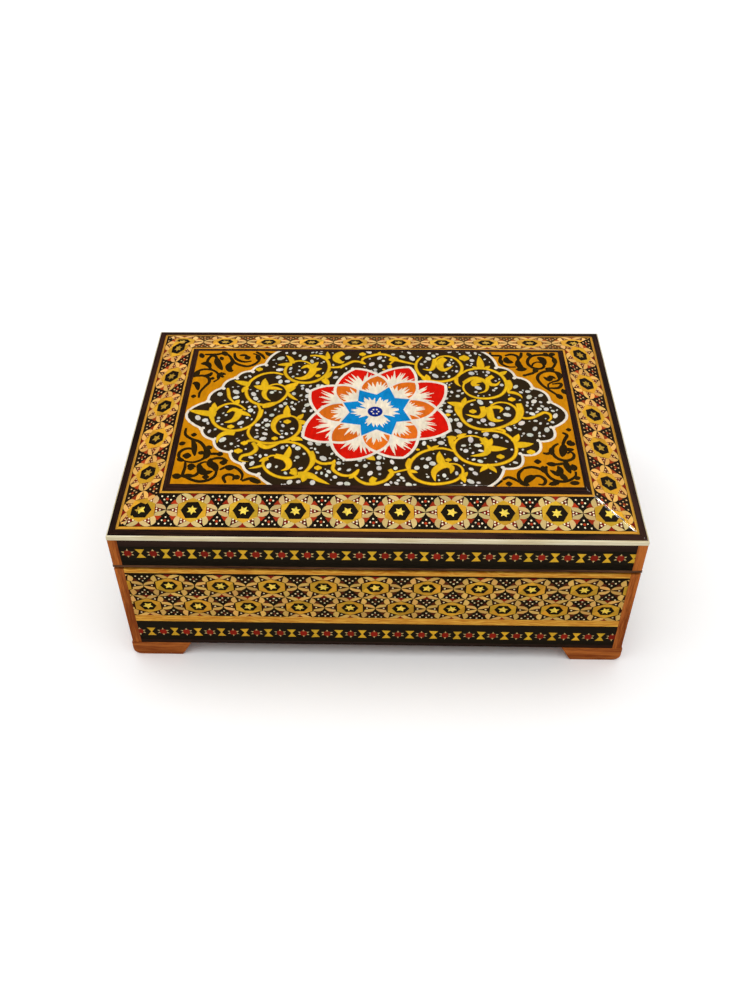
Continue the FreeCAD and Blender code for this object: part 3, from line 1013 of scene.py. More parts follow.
# Pointed leaves: where they grow, their heading, length, bend and half-width
THORNS = [
    ((-28.2, 29.6), 45, 4.4, 10, 1.3), ((-28.0, 27.6), 5, 4.4, 15, 1.3),
    ((-36.6, 31.8), 95, 6.6, 50, 1.2), ((-36.8, 31.2), 178, 6.2, 10, 1.25),
    ((-22.4, 22.4), 45, 5.2, 15, 1.5), ((-22.8, 21.6), -50, 5.0, -20, 1.5),
    ((-21.4, 34.8), 140, 5.6, 15, 1.2), ((-21.2, 35.2), 102, 5.0, -10, 1.1),
    ((-47.0, 16.0), 108, 5.8, -25, 1.7), ((-46.6, 15.4), 172, 5.6, -15, 1.6),
    ((-53.6, 17.8), 168, 7.4, -15, 1.5), ((-54.6, 15.8), 225, 3.8, 30, 1.4),
    ((-38.8, 15.4), 22, 7.2, 28, 1.8), ((-37.6, 13.4), 45, 4.4, -20, 1.2),
    ((-37.4, 12.4), -60, 6.8, 32, 0.9), ((-47.2, 4.0), 12, 7.4, 25, 1.5),
    ((-65.8, -1.2), 172, 12.0, -8, 1.7), ((-66.4, 1.2), 115, 5.0, -30, 1.4),
    ((-56.8, 0.4), -12, 6.2, -28, 1.25), ((-58.6, 5.0), 72, 3.4, -20, 1.4),
    ((-36.9, -1.4), 88, 6.2, 5, 1.5), ((-31.8, -3.4), 52, 3.4, 10, 1.2),
    ((-31.4, -5.2), -15, 4.2, -20, 1.3), ((-34.0, -15.6), 22, 5.0, -60, 1.4),
    ((-35.8, -26.8), 60, 7.4, 38, 1.5), ((-42.2, -26.4), 205, 3.8, 10, 1.2),
    ((-43.8, -30.4), 203, 5.8, -10, 0.7), ((-30.0, -35.4), 8, 9.0, -48, 1.9),
    ((-27.4, -35.4), -85, 3.8, -30, 1.5), ((-24.8, -36.0), -35, 8.4, 10, 1.1),
    ((-32.2, -32.0), -62, 4.6, -20, 1.3), ((-14.0, 31.2), 220, 3.2, 40, 1.0),
    ((5.0, 31.0), 300, 3.6, -60, 1.1), ((0.4, 38.2), 65, 2.4, 0, 0.8), ((-7.4, 33.4), -30, 3.0, -20, 1.0),
    ((-17.0, -29.2), 50, 2.6, 40, 0.9), ((21.8, 21.0), 150, 4.4, -30, 1.4),
    ((21.6, 21.4), 100, 3.6, 0, 1.4), ((33.8, 23.0), 248, 6.6, 75, 0.95), ((44.4, 28.6), 88, 9.0, 8, 1.7),
    ((46.2, 28.8), 42, 3.0, 0, 1.1), ((43.0, 28.8), 140, 2.8, 10, 1.0), ((52.0, 25.0), 30, 4.2, 10, 1.3),
    ((54.6, 13.6), 8, 7.6, -85, 0.9), ((35.8, 5.0), 165, 7.0, -5, 1.7), ((35.6, 6.4), 68, 4.0, 10, 1.2),
    ((31.6, -14.6), 158, 3.8, 15, 1.2), ((32.4, -14.0), 42, 4.2, -20, 1.2),
    ((54.2, -16.2), 52, 5.2, 20, 1.5), ((54.4, -18.0), 0, 7.6, 12, 1.8),
    ((43.8, -29.2), 212, 5.6, 25, 1.2), ((43.0, -29.2), -40, 5.4, -25, 1.2),
    ((43.6, -18.6), 55, 4.8, 15, 1.5), ((43.2, -19.8), -8, 8.2, 12, 1.7),
    ((43.8, -16.8), 192, 3.0, 0, 1.0), ((25.8, -29.2), 112, 7.4, -28, 1.7),
    ((13.2, -32.8), -8, 3.0, -20, 1.0), ((32.2, -35.8), 30, 4.0, 25, 1.4),
    ((32.6, -35.0), -62, 4.0, -20, 1.3), ((21.6, -21.2), 118, 3.2, 0, 0.9),
    ((21.6, -21.0), 45, 4.0, -15, 1.0), ((-8.6, -35.4), 225, 2.4, 0, 1.0),
    ((-3.8, -24.8), -20, 4.2, -30, 1.5),
]

# Gold dots: place and radius
GOLD_DOTS = [
    ((37.7, 36.1), 2.2), ((-25.2, 23.7), 1.15), ((-50.7, 27.8), 1.5), ((-58.9, -8.5), 1.4),
    ((-36.2, -5.3), 1.5), ((-40.5, -15.2), 1.25), ((-54.3, -22.5), 1.65), ((-52.4, -18.0), 1.4),
    ((-22.4, -31.5), 1.45), ((39.3, 1.6), 1.45), ((55.8, 9.2), 1.5), ((48.4, -24.6), 1.5),
    ((60.5, -21.9), 1.6), ((28.1, -26.6), 1.15), ((29.0, -0.6), 1.1), ((-6.4, 38.4), 1.45),
    ((-31.9, -34.2), 1.3), ((2.9, 28.0), 0.7), ((30.4, 16.6), 0.6), ((16.3, -21.0), 0.8),
]


def gold_scrolls(picture):
    """Gold strokes: all of the darker first coat, then a lighter drag of the brush down each middle."""
    strokes = [(flowing(points, 4), STEM_HALF_WIDTH, as_stem) for points in SCROLLS + STEMS]
    strokes += [(flowing(points, 4), half_width, as_comma) for points, half_width in COMMAS]
    for at, heading, length, turn, half_width in THORNS:
        strokes.append((curl(at, heading, length, turn, 7), half_width, as_comma))
    for at, reach in GOLD_DOTS:
        strokes.append(([(at[0] - reach, at[1]), at, (at[0] + reach, at[1])], reach, as_dot))
    for path, half_width, profile in strokes:
        picture.brush(path, half_width, profile, picture.tone(PAINT_AMBER_SHADE, 0.08), True)
    for path, half_width, profile in strokes:
        picture.brush(path, half_width - GOLD_EDGE, profile, picture.tone(PAINT_GOLD, 0.06))


# Ink scrolls in the four amber corners: lines, leaves with their half-widths, and dots
INK_LINES = [
    [(-76.8, -9.5), (-76.6, -13.2), (-73.8, -15.8), (-70.4, -17.4), (-68.0, -20.4), (-67.0, -24.0),
     (-67.6, -27.0), (-70.8, -28.9), (-74.2, -28.5), (-77.0, -26.8)],
    [(-71.8, -21.6), (-75.0, -21.4), (-77.3, -23.4), (-77.2, -26.2), (-75.4, -27.6)],
    [(-74.3, -28.8), (-74.0, -32.0), (-74.1, -36.4), (-70.0, -36.3), (-68.3, -34.0), (-69.0, -30.8),
     (-67.2, -28.9), (-64.8, -28.9)],
    [(-73.0, -31.6), (-71.8, -30.3), (-69.9, -31.6)],
    [(-64.3, -27.4), (-62.2, -26.6), (-59.6, -26.9), (-57.8, -28.4)],
    [(-61.5, -33.4), (-61.9, -36.4), (-64.2, -38.6), (-67.6, -39.3), (-71.0, -38.2), (-73.4, -36.9),
     (-76.0, -36.5)],
    [(-66.4, -24.3), (-62.8, -24.2), (-60.4, -24.4)],
    [(-60.4, -33.0), (-58.0, -31.4), (-56.2, -31.0), (-53.2, -32.6), (-51.3, -35.4), (-51.5, -38.6)],
    [(-57.2, -40.0), (-58.5, -37.0), (-56.8, -35.5), (-54.6, -36.2), (-54.6, -38.6)],
    [(-51.2, -38.9), (-47.6, -37.4), (-44.4, -39.2)],
    [(74.0, -10.7), (75.7, -12.2), (74.5, -14.8), (73.4, -17.8), (73.4, -20.4)],
    [(71.8, -17.0), (69.5, -19.0), (68.9, -22.4), (70.2, -25.2), (73.2, -26.6), (76.0, -25.6),
     (77.0, -23.4), (76.0, -21.8), (74.4, -22.6)],
    [(68.6, -21.6), (66.8, -22.8), (65.0, -22.4)],
    [(66.0, -28.2), (69.8, -28.6), (73.0, -28.2), (73.6, -30.6), (74.4, -33.2)],
    [(65.6, -29.6), (65.1, -33.0), (66.6, -36.2), (69.8, -37.8), (73.2, -37.2), (75.9, -35.0),
     (76.4, -32.4)],
    [(56.2, -31.1), (60.0, -30.2), (63.2, -31.4), (65.2, -34.0)],
    [(56.6, -31.2), (54.7, -33.4), (54.4, -36.4), (56.0, -38.6)],
    [(59.4, -35.2), (62.4, -35.0), (64.3, -37.2), (63.4, -39.4), (61.4, -39.3)],
    [(48.2, -37.2), (50.4, -35.8), (53.0, -37.0), (55.4, -39.4)],
    [(44.8, -40.4), (46.6, -38.6), (48.2, -37.4)],
    [(-74.3, 9.0), (-74.3, 12.6), (-72.8, 16.0), (-71.2, 19.2), (-72.0, 22.0), (-74.4, 23.4),
     (-77.4, 23.4), (-77.2, 26.0), (-74.8, 27.6), (-71.0, 27.2), (-68.4, 25.0), (-67.3, 22.0),
     (-69.4, 19.2)],
    [(-71.4, 27.8), (-73.4, 30.4), (-73.8, 33.6), (-72.6, 36.6), (-70.6, 36.4), (-69.6, 33.4),
     (-68.2, 30.0), (-66.6, 27.4)],
    [(-75.6, 37.8), (-70.0, 37.9), (-66.8, 39.4)],
    [(-67.0, 39.4), (-64.4, 36.6), (-63.0, 33.6), (-60.4, 31.2), (-56.8, 29.8), (-54.6, 30.2),
     (-52.4, 32.0), (-51.2, 34.6), (-52.0, 37.2), (-54.4, 38.6)],
    [(-62.6, 39.0), (-62.0, 35.8), (-60.2, 33.8), (-57.4, 32.8), (-54.6, 33.4)],
    [(-60.2, 37.2), (-57.8, 37.4), (-56.2, 35.6)],
    [(-53.2, 39.8), (-50.4, 37.4), (-48.9, 34.8)],
    [(76.4, 10.2), (74.0, 13.0), (71.6, 15.6), (69.4, 18.4), (67.9, 22.0), (68.5, 24.8), (70.6, 26.8),
     (73.6, 27.6), (76.4, 26.4), (77.4, 23.8), (76.4, 21.4), (74.0, 20.4), (72.0, 18.8), (71.8, 16.2)],
    [(72.0, 16.4), (76.0, 16.6), (77.4, 19.4), (73.6, 19.0)],
    [(62.4, 24.4), (64.6, 25.4), (66.6, 26.4), (67.6, 28.8)],
    [(72.0, 28.8), (74.8, 29.6), (76.5, 32.6), (76.3, 36.0), (74.0, 38.2), (70.4, 38.4), (67.0, 37.6),
     (65.1, 35.0), (64.9, 32.2), (66.6, 29.8), (69.6, 29.0), (71.5, 30.6), (71.0, 32.8), (69.2, 33.6),
     (67.2, 32.6), (66.4, 30.8)],
    [(55.4, 37.8), (58.2, 38.7), (60.6, 37.6), (61.0, 35.2), (60.4, 32.2)],
    [(49.2, 40.2), (49.6, 38.0), (53.4, 37.6), (53.0, 34.4), (53.9, 31.8), (56.4, 30.2), (59.4, 30.2)],
    [(62.8, 40.2), (62.2, 37.4), (61.2, 35.6)],
]
INK_LINE_HALF_WIDTH = 0.74
INK_LEAF_SWELL = 1.22
INK_LEAVES = [
    ([(-73.6, -15.8), (-72.3, -19.0), (-71.7, -22.4), (-71.1, -25.6)], 1.0),
    ([(-66.6, -21.0), (-66.3, -24.4), (-67.4, -27.4)], 1.2),
    ([(-70.2, -23.6), (-67.2, -23.8)], 0.95),
    ([(-66.4, -19.4), (-66.0, -22.2)], 1.35),
    ([(-62.6, -23.8), (-60.0, -24.8)], 1.1),
    ([(-78.5, -19.0), (-75.7, -18.0)], 1.0),
    ([(-64.6, -26.6), (-64.5, -29.4), (-62.4, -31.4), (-61.4, -34.4)], 1.4),
    ([(-68.8, -29.4), (-67.9, -32.8), (-65.8, -34.6), (-62.8, -33.7)], 1.35),
    ([(-78.4, -36.0), (-74.6, -37.2)], 1.3),
    ([(-58.4, -30.8), (-56.6, -31.8), (-54.8, -31.2)], 1.3),
    ([(-54.2, -35.8), (-52.4, -38.0)], 1.1),
    ([(-74.8, -36.7), (-69.8, -36.2)], 1.05),
    ([(-78.0, -26.9), (-74.8, -28.4)], 0.9),
    ([(-48.6, -37.6), (-43.6, -39.8)], 1.1),
    ([(73.8, -17.2), (73.2, -20.6), (72.2, -24.6)], 1.4),
    ([(73.0, -20.4), (77.6, -20.4)], 0.9),
    ([(69.0, -19.0), (68.1, -23.6)], 1.0),
    ([(65.6, -28.3), (69.8, -28.8)], 1.05),
    ([(73.2, -26.2), (73.4, -29.4), (74.4, -33.6)], 1.1),
    ([(75.6, -28.4), (76.1, -32.2)], 1.3),
    ([(66.6, -31.6), (69.4, -33.8), (70.6, -31.6), (69.9, -29.4)], 1.2),
    ([(70.4, -33.0), (71.4, -35.4), (72.6, -37.4)], 1.1),
    ([(56.2, -39.2), (58.4, -36.2), (61.0, -35.1)], 1.3),
    ([(64.0, -29.4), (64.9, -33.6)], 1.2),
    ([(65.2, -39.5), (69.8, -38.1)], 1.0),
    ([(73.2, -38.6), (77.2, -38.4)], 1.0),
    ([(75.2, -36.3), (77.8, -35.5)], 0.9),
    ([(75.2, -17.8), (76.9, -15.0)], 0.9),
    ([(74.8, -16.9), (78.5, -17.2)], 1.2),
    ([(54.0, -38.2), (58.2, -39.9)], 1.0),
    ([(-78.4, 18.2), (-76.4, 18.0), (-75.2, 13.6)], 1.1),
    ([(-78.4, 22.2), (-77.6, 24.4), (-76.6, 27.0)], 1.2),
    ([(-67.8, 21.0), (-67.2, 24.4), (-64.6, 24.3)], 1.0),
    ([(-74.2, 23.6), (-71.8, 23.8), (-70.8, 25.8)], 0.9),
    ([(-76.6, 31.4), (-73.6, 31.4), (-71.8, 28.4)], 1.15),
    ([(-70.2, 35.8), (-69.2, 32.2), (-66.6, 27.0)], 1.25),
    ([(-68.4, 36.4), (-67.2, 33.8)], 0.8),
    ([(-63.6, 35.8), (-62.8, 32.6), (-64.2, 29.6), (-63.0, 26.8), (-61.8, 27.4)], 1.2),
    ([(-77.6, 38.8), (-76.0, 35.2)], 1.0),
    ([(-68.2, 40.0), (-65.4, 37.0)], 1.1),
    ([(-57.4, 37.0), (-55.8, 34.4)], 1.2),
    ([(-52.6, 38.0), (-51.2, 33.6)], 1.0),
    ([(-49.2, 39.8), (-46.8, 37.8), (-44.2, 38.8)], 1.0),
    ([(77.0, 22.0), (77.4, 25.0), (75.6, 27.4)], 1.1),
    ([(70.4, 23.8), (72.6, 21.8), (73.6, 23.6), (75.6, 22.6)], 1.1),
    ([(67.4, 26.2), (67.8, 29.8)], 1.1),
    ([(69.2, 36.8), (71.4, 35.0), (71.8, 31.0)], 1.35),
    ([(71.6, 29.0), (76.0, 28.4)], 1.15),
    ([(76.4, 36.8), (76.6, 32.0)], 1.0),
    ([(72.4, 40.0), (73.8, 37.4)], 1.1),
    ([(74.4, 38.6), (77.4, 39.2)], 1.0),
    ([(56.0, 37.0), (56.0, 34.2), (58.8, 33.2)], 1.3),
    ([(60.8, 35.4), (60.8, 31.4), (62.8, 29.0)], 1.25),
    ([(59.2, 28.4), (64.2, 28.9)], 1.2),
    ([(65.2, 40.0), (66.8, 37.2)], 1.0),
    ([(76.8, 9.4), (74.6, 12.8)], 1.1),
    ([(77.4, 16.0), (78.5, 12.6)], 1.0),
    ([(53.0, 35.6), (53.6, 32.0)], 0.95),
]
INK_DOTS = [
    ((-73.1, -13.4), 1.2), ((-74.2, -25.4), 1.75), ((-71.7, -32.2), 1.3), ((-59.4, -29.0), 1.5),
    ((-65.3, -36.9), 1.35), ((62.5, -27.2), 1.4), ((50.4, -39.2), 1.3), ((76.8, -9.0), 1.1),
    ((-76.6, 10.0), 1.15), ((-70.2, 21.6), 1.0), ((62.6, 24.6), 0.85), ((-66.0, 22.8), 0.8),
]


def ink_scrolls(picture):
    """Dark scrolls, leaves and dots in the amber corners."""
    strokes = [(points, INK_LINE_HALF_WIDTH, as_stem) for points in INK_LINES]
    strokes += [(points, half_width * INK_LEAF_SWELL, as_leaf) for points, half_width in INK_LEAVES]
    strokes += [([(x - reach, y), (x, y), (x + reach, y)], reach, as_dot) for (x, y), reach in INK_DOTS]
    for points, half_width, profile in strokes:
        picture.brush(flowing(points, 4), half_width, profile, picture.tone(PAINT_INK, 0.15))


# White dots of three sizes: how many are tried, their reach, their stretch and the gap that they keep
WHITE_DOTS = (
    (1100, (0.8, 1.2), (1.0, 1.7), 0.12),
    (1600, (0.42, 0.7), (1.0, 1.8), 0.25),
    (900, (0.28, 0.4), (1.0, 2.0), 0.35),
)


def spotted(picture, field, count, reaches, stretches, gap):
    """Dots that find room between the strokes, where field says that they may lie."""
    dice = picture.dice
    for _ in range(count):
        at = (dice.uniform(-PANEL_HALF_X, PANEL_HALF_X), dice.uniform(-PANEL_HALF_Y, PANEL_HALF_Y))
        reach = dice.uniform(*reaches)
        if field(at) and picture.has_room(at, reach, gap):
            stretch = dice.uniform(*stretches)
            picture.dot(at, reach, picture.tone(PAINT_DOT, 0.14), stretch, dice.uniform(0, 180), 7)
            picture.keep_clear(at, reach * stretch)


# Rosette: for each of its eight petals, the heading and reach of the notch before it, of its red tip,
# of the blue star's tip under it, and of the star's notch before that
ROSETTE_MIDDLE = (-0.6, 1.1)
PETALS = [
    ((4.8, 25.3), (30, 34.0), (28.6, 16.3), (6.5, 11.6)),
    ((47.6, 25.4), (63, 32.2), (69.5, 16.5), (46, 11.8)),
    ((87.8, 23.3), (108, 28.8), (116.6, 15.0), (87, 10.6)),
    ((135.7, 23.2), (155, 30.0), (157.6, 14.4), (138.5, 9.6)),
    ((181.4, 23.8), (208, 32.6), (205.6, 15.5), (183, 10.5)),
    ((226.1, 25.1), (248, 30.4), (249.4, 15.4), (234, 10.0)),
    ((271.9, 23.6), (293, 29.0), (295.6, 15.3), (273, 10.7)),
    ((316.7, 23.5), (340, 32.1), (340, 15.5), (325, 10.7)),
]
RED_SWELL = 0.1
RED_HOLLOW = -0.13
ORANGE_SWELL = -0.15
OUTLINE_HALF_WIDTH = 0.62
NAVY_REACH = 3.1
CREAM_RIM = 1.1
HEART_DOT_SEAT = 1.4
HEART_DOT_REACH = 0.4

# Bursts of cream strokes: spread in degrees, shortest and longest stroke, number of strokes, half-width
RED_BURST = (64, (9.0, 12.6), 23, 1.25)
ORANGE_BURST = (68, (6.6, 9.8), 19, 1.4)
CENTRE_BURST = (32, (6.4, 8.8), 11, 1.5)
CENTRE_HEADINGS = (2, 57, 118, 183, 262, 292)


def tufts(picture, root, heading, spread, lengths, count, half_width):
    """A burst of cream brush strokes out of one point."""
    dice = picture.dice
    cream = picture.tone(PAINT_CREAM, 0.02)
    for stroke in range(count):
        share = stroke / (count - 1) * 2 - 1
        length = dice.uniform(*lengths) * (1 - 0.3 * share * share)
        direction = heading + spread * share + dice.uniform(-3, 3)
        picture.brush(curl(root, direction, length, dice.uniform(-14, 14), 4), half_width, as_tuft, cream)


def from_rosette(heading, reach):
    """A point of the rosette."""
    x, y = polar(reach, heading)
    return (ROSETTE_MIDDLE[0] + x, ROSETTE_MIDDLE[1] + y)


def rosette(picture):
    """Red petals, orange ones before them, a blue star with cream bursts, and a navy heart."""
    white = picture.tone(PAINT_WHITE, 0.01)
    cream = picture.tone(PAINT_CREAM, 0.01)
    notches, reds, tips, hollows = ([from_rosette(*petal[part]) for petal in PETALS] for part in range(4))
    outlines = []
    for k, (_, (heading, _), (_, reach), _) in enumerate(PETALS):
        before, after = notches[k], notches[(k + 1) % 8]
        sides = [bowed(reds[k], before, RED_SWELL, 6), bowed(after, reds[k], RED_SWELL, 6)]
        inner = [bowed(tips[k], before, RED_HOLLOW, 6), bowed(after, tips[k], RED_HOLLOW, 6)]
        petal = inner[0] + sides[0][::-1][1:] + sides[1][::-1][1:] + inner[1][1:-1]
        picture.lay(petal, picture.tone(PAINT_RED, 0.06))
        tufts(picture, from_rosette(heading, reach - 0.8), heading, *RED_BURST)
        outlines += sides
    for k, ((heading, _), _, _, (_, reach)) in enumerate(PETALS):
        sides = [bowed(tips[k - 1], notches[k], ORANGE_SWELL, 6), bowed(notches[k], tips[k], ORANGE_SWELL, 6)]
        picture.lay(sides[0] + sides[1][1:] + [hollows[k]], picture.tone(PAINT_ORANGE, 0.1))
        tufts(picture, from_rosette(heading, reach - 0.6), heading, *ORANGE_BURST)
        outlines += sides
    for path in outlines:
        picture.brush(path, OUTLINE_HALF_WIDTH, as_line, white)
    blue = [corner for pair in zip(hollows, tips) for corner in pair]
    for first, last in zip(blue, blue[1:] + blue[:1]):
        picture.brush([first, last], OUTLINE_HALF_WIDTH, as_line, white)
    picture.lay(blue, picture.tone(PAINT_BLUE, 0.03))
    for heading in CENTRE_HEADINGS:
        tufts(picture, from_rosette(heading, 2.0), heading, *CENTRE_BURST)
    picture.dot(ROSETTE_MIDDLE, NAVY_REACH + CREAM_RIM, cream, 1.0, 0, 20)
    picture.dot(ROSETTE_MIDDLE, NAVY_REACH, picture.tone(PAINT_NAVY, 0.01), 1.0, 0, 20)
    for k in range(6):
        picture.dot(from_rosette(60 * k, HEART_DOT_SEAT), HEART_DOT_REACH, white)


PANEL_ROLL = (0.9, 0.16)
PANEL_SEED = 11


def painted_panel():
    outline = rectangle(-PANEL_HALF_X, PANEL_HALF_X, -PANEL_HALF_Y, PANEL_HALF_Y)
    picture = Picture(outline, PAINT_AMBER, PANEL_SEED)
    ink_scrolls(picture)
    field = scalloped_frame(picture)
    gold_scrolls(picture)
    petals = [from_rosette(*part) for petal in PETALS for part in petal[:2]]

    def on_brown(point):
        return inside(point, field) and not inside(point, petals)

    for size in WHITE_DOTS:
        spotted(picture, on_brown, *size)
    rosette(picture)
    picture.roll_off((0, 1, 2, 3), *PANEL_ROLL)
    place = Matrix.Translation(Vector((MIDDLE.x, MIDDLE.y, PANEL_HIGH.z)) * MM)
    drop = Vector((0, 0, (PANEL_LOW.z - PANEL_HIGH.z) * MM))
    piece = picture.block("painted_lid_panel", place, drop)
    fitted(piece, "lid", "painted_lacquer", PAINT, "painted_panel")


# Plain wooden, bone and velvet pieces, with eased edges
POST_EASE = 0.12
POST_ROUND = 0.55
FOOT_EASE = 0.3
FOOT_ROUND = 3.4
FOOT_SLANT = 4.2
BONE_EASE = 0.08
BONE_ROUND = 0.6
STRIP_EASE = 0.16
CARD_EASE = 0.5
SHARP_EDGE = math.radians(20)
NEAR = 0.01


def eased_mesh(name, rings_of_solids, ease, rounded=None):
    """Solids between pairs of rings, every edge eased; rounded picks edges for a larger radius."""
    shape = bmesh.new()
    for near, far in rings_of_solids:
        first = [shape.verts.new(Vector(point) * MM) for point in near]
        second = [shape.verts.new(Vector(point) * MM) for point in far]
        count = len(near)
        shape.faces.new(first)
        shape.faces.new(second[::-1])
        for k in range(count):
            nxt = (k + 1) % count
            shape.faces.new([first[k], second[k], second[nxt], first[nxt]])
    bmesh.ops.recalc_face_normals(shape, faces=shape.faces)
    if rounded:
        chosen, radius = rounded
        edges = [edge for edge in shape.edges if chosen(*[vert.co / MM for vert in edge.verts])]
        bmesh.ops.bevel(shape, geom=edges, offset=radius * MM, segments=5, profile=0.5, affect="EDGES")
    sharp = [edge for edge in shape.edges if edge.calc_face_angle(0) > SHARP_EDGE]
    easing = {"offset": ease * MM, "segments": 2, "profile": 0.5, "clamp_overlap": True}
    bmesh.ops.bevel(shape, geom=sharp, affect="EDGES", **easing)
    for face in shape.faces:
        face.smooth = True
    mesh = bpy.data.meshes.new(name)
    shape.to_mesh(mesh)
    shape.free()
    piece = dressed(name, mesh)
    piece.modifiers.new("even_shading", "WEIGHTED_NORMAL").keep_sharp = True
    return piece


def box_rings(box_low, box_high):
    """The lower and upper corners of a box."""
    flat = rectangle(box_low.x, box_high.x, box_low.y, box_high.y)
    return [(x, y, box_low.z) for x, y in flat], [(x, y, box_high.z) for x, y in flat]


def mitred_rings(side, section):
    """The two mitred ends of a bar along one side, from the (inset, level) corners of its section."""
    turn = Matrix.Rotation(math.radians(SIDES[side]), 3, "Z")
    rings = []
    for end in (-1, 1):
        ring = []
        for inset, level in section:
            along = end * (half_length(side) - inset)
            ring.append(MIDDLE + turn @ Vector((along, inset - setback(side), level)))
        rings.append(ring)
    return rings


def posts_and_feet():
    for corner, (sign_x, sign_y) in CORNERS.items():
        for node, body in (("corner_post_" + corner, "box"), ("lid_post_" + corner, "lid")):
            post_low, post_high = (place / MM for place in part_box(node))
            outer_x = post_high.x if sign_x > 0 else post_low.x
            outer_y = post_high.y if sign_y > 0 else post_low.y

            def arris(first, last):
                return all(abs(p.x - outer_x) < NEAR and abs(p.y - outer_y) < NEAR for p in (first, last))

            rings = [box_rings(post_low, post_high)]
            piece = eased_mesh("eased_" + node, rings, POST_EASE, (arris, POST_ROUND))
            fitted(piece, body, "post_wood", POST_WOOD, node)
        block_foot("foot_" + corner, sign_x, sign_y)


def block_foot(node, sign_x, sign_y):
    """A block foot, rounded under its outer end and slanted at both inner ends."""
    foot_low, foot_high = (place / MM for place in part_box(node))
    length = foot_high.x - foot_low.x
    height = foot_high.z
    outer = foot_high.x if sign_x > 0 else -foot_low.x
    front = foot_high.y if sign_y > 0 else -foot_low.y
    turn = [polar(FOOT_ROUND, -15 * step) for step in range(7)]
    profile = [(outer - FOOT_ROUND + x, FOOT_ROUND + y) for x, y in turn]
    profile += [(outer - length + FOOT_SLANT, 0), (outer - length, height), (outer, height)]
    near = [(sign_x * x, sign_y * front, z) for x, z in profile]
    far = []
    for x, z in profile:
        far.append((sign_x * x, sign_y * (front - length + FOOT_SLANT * (1 - z / height)), z))
    piece = eased_mesh("eased_" + node, [(near, far)], FOOT_EASE)
    fitted(piece, "box", "post_wood", FOOT_WOOD, node)


def sloping_strips():
    """Bone line on the lid's arris, and the dark strips beside the marquetry and the painted panel."""
    skin = PANEL_HIGH.z - PANEL_LOW.z
    bone_low, bone_high = (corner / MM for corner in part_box("bone_line"))
    edge_low, edge_high = (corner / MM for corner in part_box("lid_edge_strips"))
    border_low, border_high = (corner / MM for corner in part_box("panel_border_strips"))
    strip_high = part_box("lid_marquetry_front")[1] / MM
    bone_inset = HALF_WIDTH - edge_high.x
    edge_stations = ((bone_inset, edge_low.z + skin), (HALF_WIDTH - strip_high.x, edge_high.z))
    border_outer = (HALF_WIDTH - border_high.x, border_low.z + skin)
    border_stations = (border_outer, (HALF_WIDTH - PANEL_HIGH.x, border_high.z))

    def section(stations):
        (outer, foot), (inner, top) = stations
        return [(outer, foot - skin), (inner, top - skin), (inner, top), (outer, foot)]

    bone_section = [(0, bone_low.z), (bone_inset, bone_low.z), (bone_inset, bone_high.z), (0, bone_high.z)]

    def arris(first, last):
        level = abs(first.z - bone_high.z) < NEAR and abs(last.z - bone_high.z) < NEAR
        ends = [max(abs(p.x) - HALF_WIDTH, abs(p.y - MIDDLE.y) - HALF_DEPTH) for p in (first, last)]
        return level and min(ends) > -NEAR and (first - last).length > 10

    rings = [mitred_rings(side, bone_section) for side in SIDES]
    piece = eased_mesh("bone_arris", rings, BONE_EASE, (arris, BONE_ROUND))
    fitted(piece, "lid", "bone", BONE, "bone_line")
    for name, node, stations in (("dark_edge_strips", "lid_edge_strips", edge_stations),
                                 ("dark_border_strips", "panel_border_strips", border_stations)):
        rings = [mitred_rings(side, section(stations)) for side in SIDES]
        fitted(eased_mesh(name, rings, STRIP_EASE), "lid", "rosewood", ROSEWOOD_STRIP, node)


def lining():
    """Velvet over card on the floor, the walls and under the lid."""
    cards = [("lining_floor", "box"), ("lid_lining", "lid")]
    cards += [("lining_" + side, "box") for side in SIDES]
    for node, body in cards:
        card_low, card_high = (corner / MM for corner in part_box(node))
        piece = eased_mesh("velvet_" + node, [box_rings(card_low, card_high)], CARD_EASE)
        fitted(piece, body, "velvet", VELVET, node)


def kept_parts():
    """Finishes of the parts that show as they were made: carcass, plain lines and hinges."""
    finishes = {"carcass_wood": CARCASS_WOOD, "light_wood": LIGHT_LINE, "brass": BRASS}
    for name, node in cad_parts.items():
        if node.hide_render:
            continue
        # The lid's lower line, made as light wood, is drawn in dark brown wood instead: darker along the
        # lid's lower edge over the seam
        wanted = DARKER_LID_LINE if name == "lid_lower_lines" else None
        for slot in node.material_slots:
            slot.material = wanted or finishes[slot.material.name]


LID_SEED = 100
BODY_SEED = 200
BAND_SEED = 300

for number, side in enumerate(SIDES):
    lid_marquetry(side, LID_SEED + number)
    body_marquetry(side, BODY_SEED + number)
    bands(side, BAND_SEED + 10 * number)
painted_panel()
posts_and_feet()
sloping_strips()
lining()
kept_parts()


# Floor, light and camera
FLOOR_REACH = 6000.0


def pale_floor():
    shape = bmesh.new()
    bmesh.ops.create_grid(shape, x_segments=1, y_segments=1, size=FLOOR_REACH * MM)
    mesh = bpy.data.meshes.new("pale_floor")
    shape.to_mesh(mesh)
    shape.free()
    floor = dressed("pale_floor", mesh)
    finish = Finish("floor_white", {"Specular IOR Level": 0.0, "Roughness": 1.0})
    place = finish.millimetres()
    clouds = finish.noise(place, (0.004, 0.004, 0.004), 1.0)
    finish.wear(Base_Color=finish.shaded(solid_colour((255, 255, 255)), 0.995 + 0.01 * clouds))
    mesh.materials.append(finish.material)
    floor.visible_glossy = False


def soft_sun(name, direction, strength, spread, mirrored):
    """A soft light from one direction; a mirrored one only gleams on the lacquer, the others only light."""
    lamp = bpy.data.lights.new(name, "SUN")
    lamp.energy = strength
    lamp.angle = math.radians(spread)
    holder = bpy.data.objects.new(name, lamp)
    holder.rotation_euler = Vector(direction).to_track_quat("Z", "Y").to_euler()
    holder.visible_glossy = mirrored
    holder.visible_diffuse = not mirrored
    bpy.context.scene.collection.objects.link(holder)


# How much of the white room the lacquer mirrors; its deep blacks show that the rest of the room is dark
MIRRORED_SHARE = 0.04

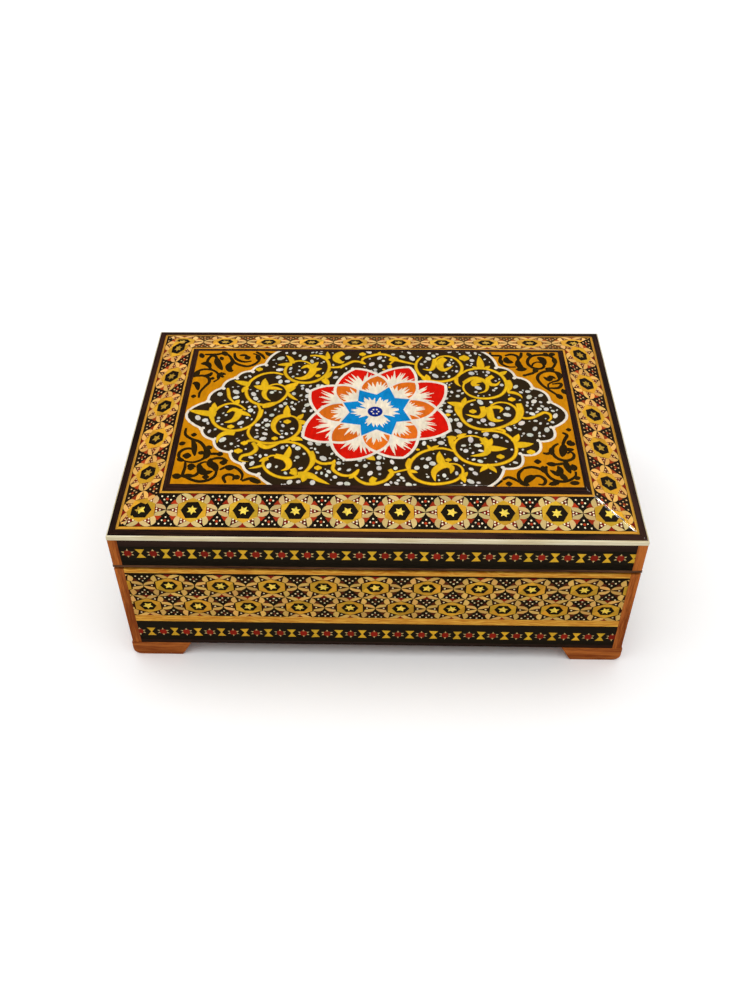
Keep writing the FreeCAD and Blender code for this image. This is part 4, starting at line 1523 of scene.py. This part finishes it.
# Each lamp's direction, strength, spread in degrees, and whether it only gleams on the lacquer
LAMPS = {
    "sky": ((0, 0, 1), 0.25, 179, False),
    "soft_left": ((-0.4, 0.02, 1.0), 1.75, 70, False),
    "soft_right": ((0.36, 0.02, 1.0), 1.55, 70, False),
    "front_fill": ((0.0, -1.0, 0.45), 0.5, 60, False),
    "window": ((0.445, 0.435, 0.78), 1.2, 7, True),
    "panel_gleam": ((0.084, 0.396, 0.915), 0.03, 2.5, True),
}


def studio():
    scene = bpy.context.scene
    scene.view_settings.view_transform = "Standard"
    world = bpy.data.worlds.new("studio")
    world.use_nodes = True
    background = world.node_tree.nodes["Background"]
    background.inputs["Color"].default_value = (1, 1, 1, 1)
    nodes = world.node_tree.nodes
    links = world.node_tree.links
    paths = nodes.new("ShaderNodeLightPath")
    seen = nodes.new("ShaderNodeMath")
    seen.operation = "MULTIPLY_ADD"
    seen.inputs[1].default_value = MIRRORED_SHARE
    links.new(paths.outputs["Is Glossy Ray"], seen.inputs[0])
    links.new(paths.outputs["Is Camera Ray"], seen.inputs[2])
    links.new(seen.outputs[0], background.inputs["Strength"])
    scene.world = world
    for name, setting in LAMPS.items():
        soft_sun(name, *setting)


CAMERA_PLACE = (2.2, -312.2, 361.25)
CAMERA_PITCH = 41.16
CAMERA_YAW = -2.43
CAMERA_ROLL = 1.28
CAMERA_LENS = 36.94
CAMERA_SENSOR = 36.0
CAMERA_SHIFT = (0.0232, -0.1048)


def photographer():
    pitch, yaw, roll = (math.radians(angle) for angle in (CAMERA_PITCH, CAMERA_YAW, CAMERA_ROLL))
    forward = Vector((math.sin(yaw) * math.cos(pitch), math.cos(yaw) * math.cos(pitch), -math.sin(pitch)))
    level = Vector((math.cos(yaw), -math.sin(yaw), 0))
    down = forward.cross(level)
    right = math.cos(roll) * level + math.sin(roll) * down
    down = math.cos(roll) * down - math.sin(roll) * level
    view = bpy.data.cameras.new("camera")
    view.lens = CAMERA_LENS
    view.sensor_width = CAMERA_SENSOR
    view.shift_x, view.shift_y = CAMERA_SHIFT
    view.clip_start = 0.01
    camera = bpy.data.objects.new("camera", view)
    stand = Matrix((right, -down, -forward)).transposed().to_4x4()
    stand.translation = Vector(CAMERA_PLACE) * MM
    camera.matrix_world = stand
    bpy.context.scene.collection.objects.link(camera)
    bpy.context.scene.camera = camera


pale_floor()
studio()
photographer()
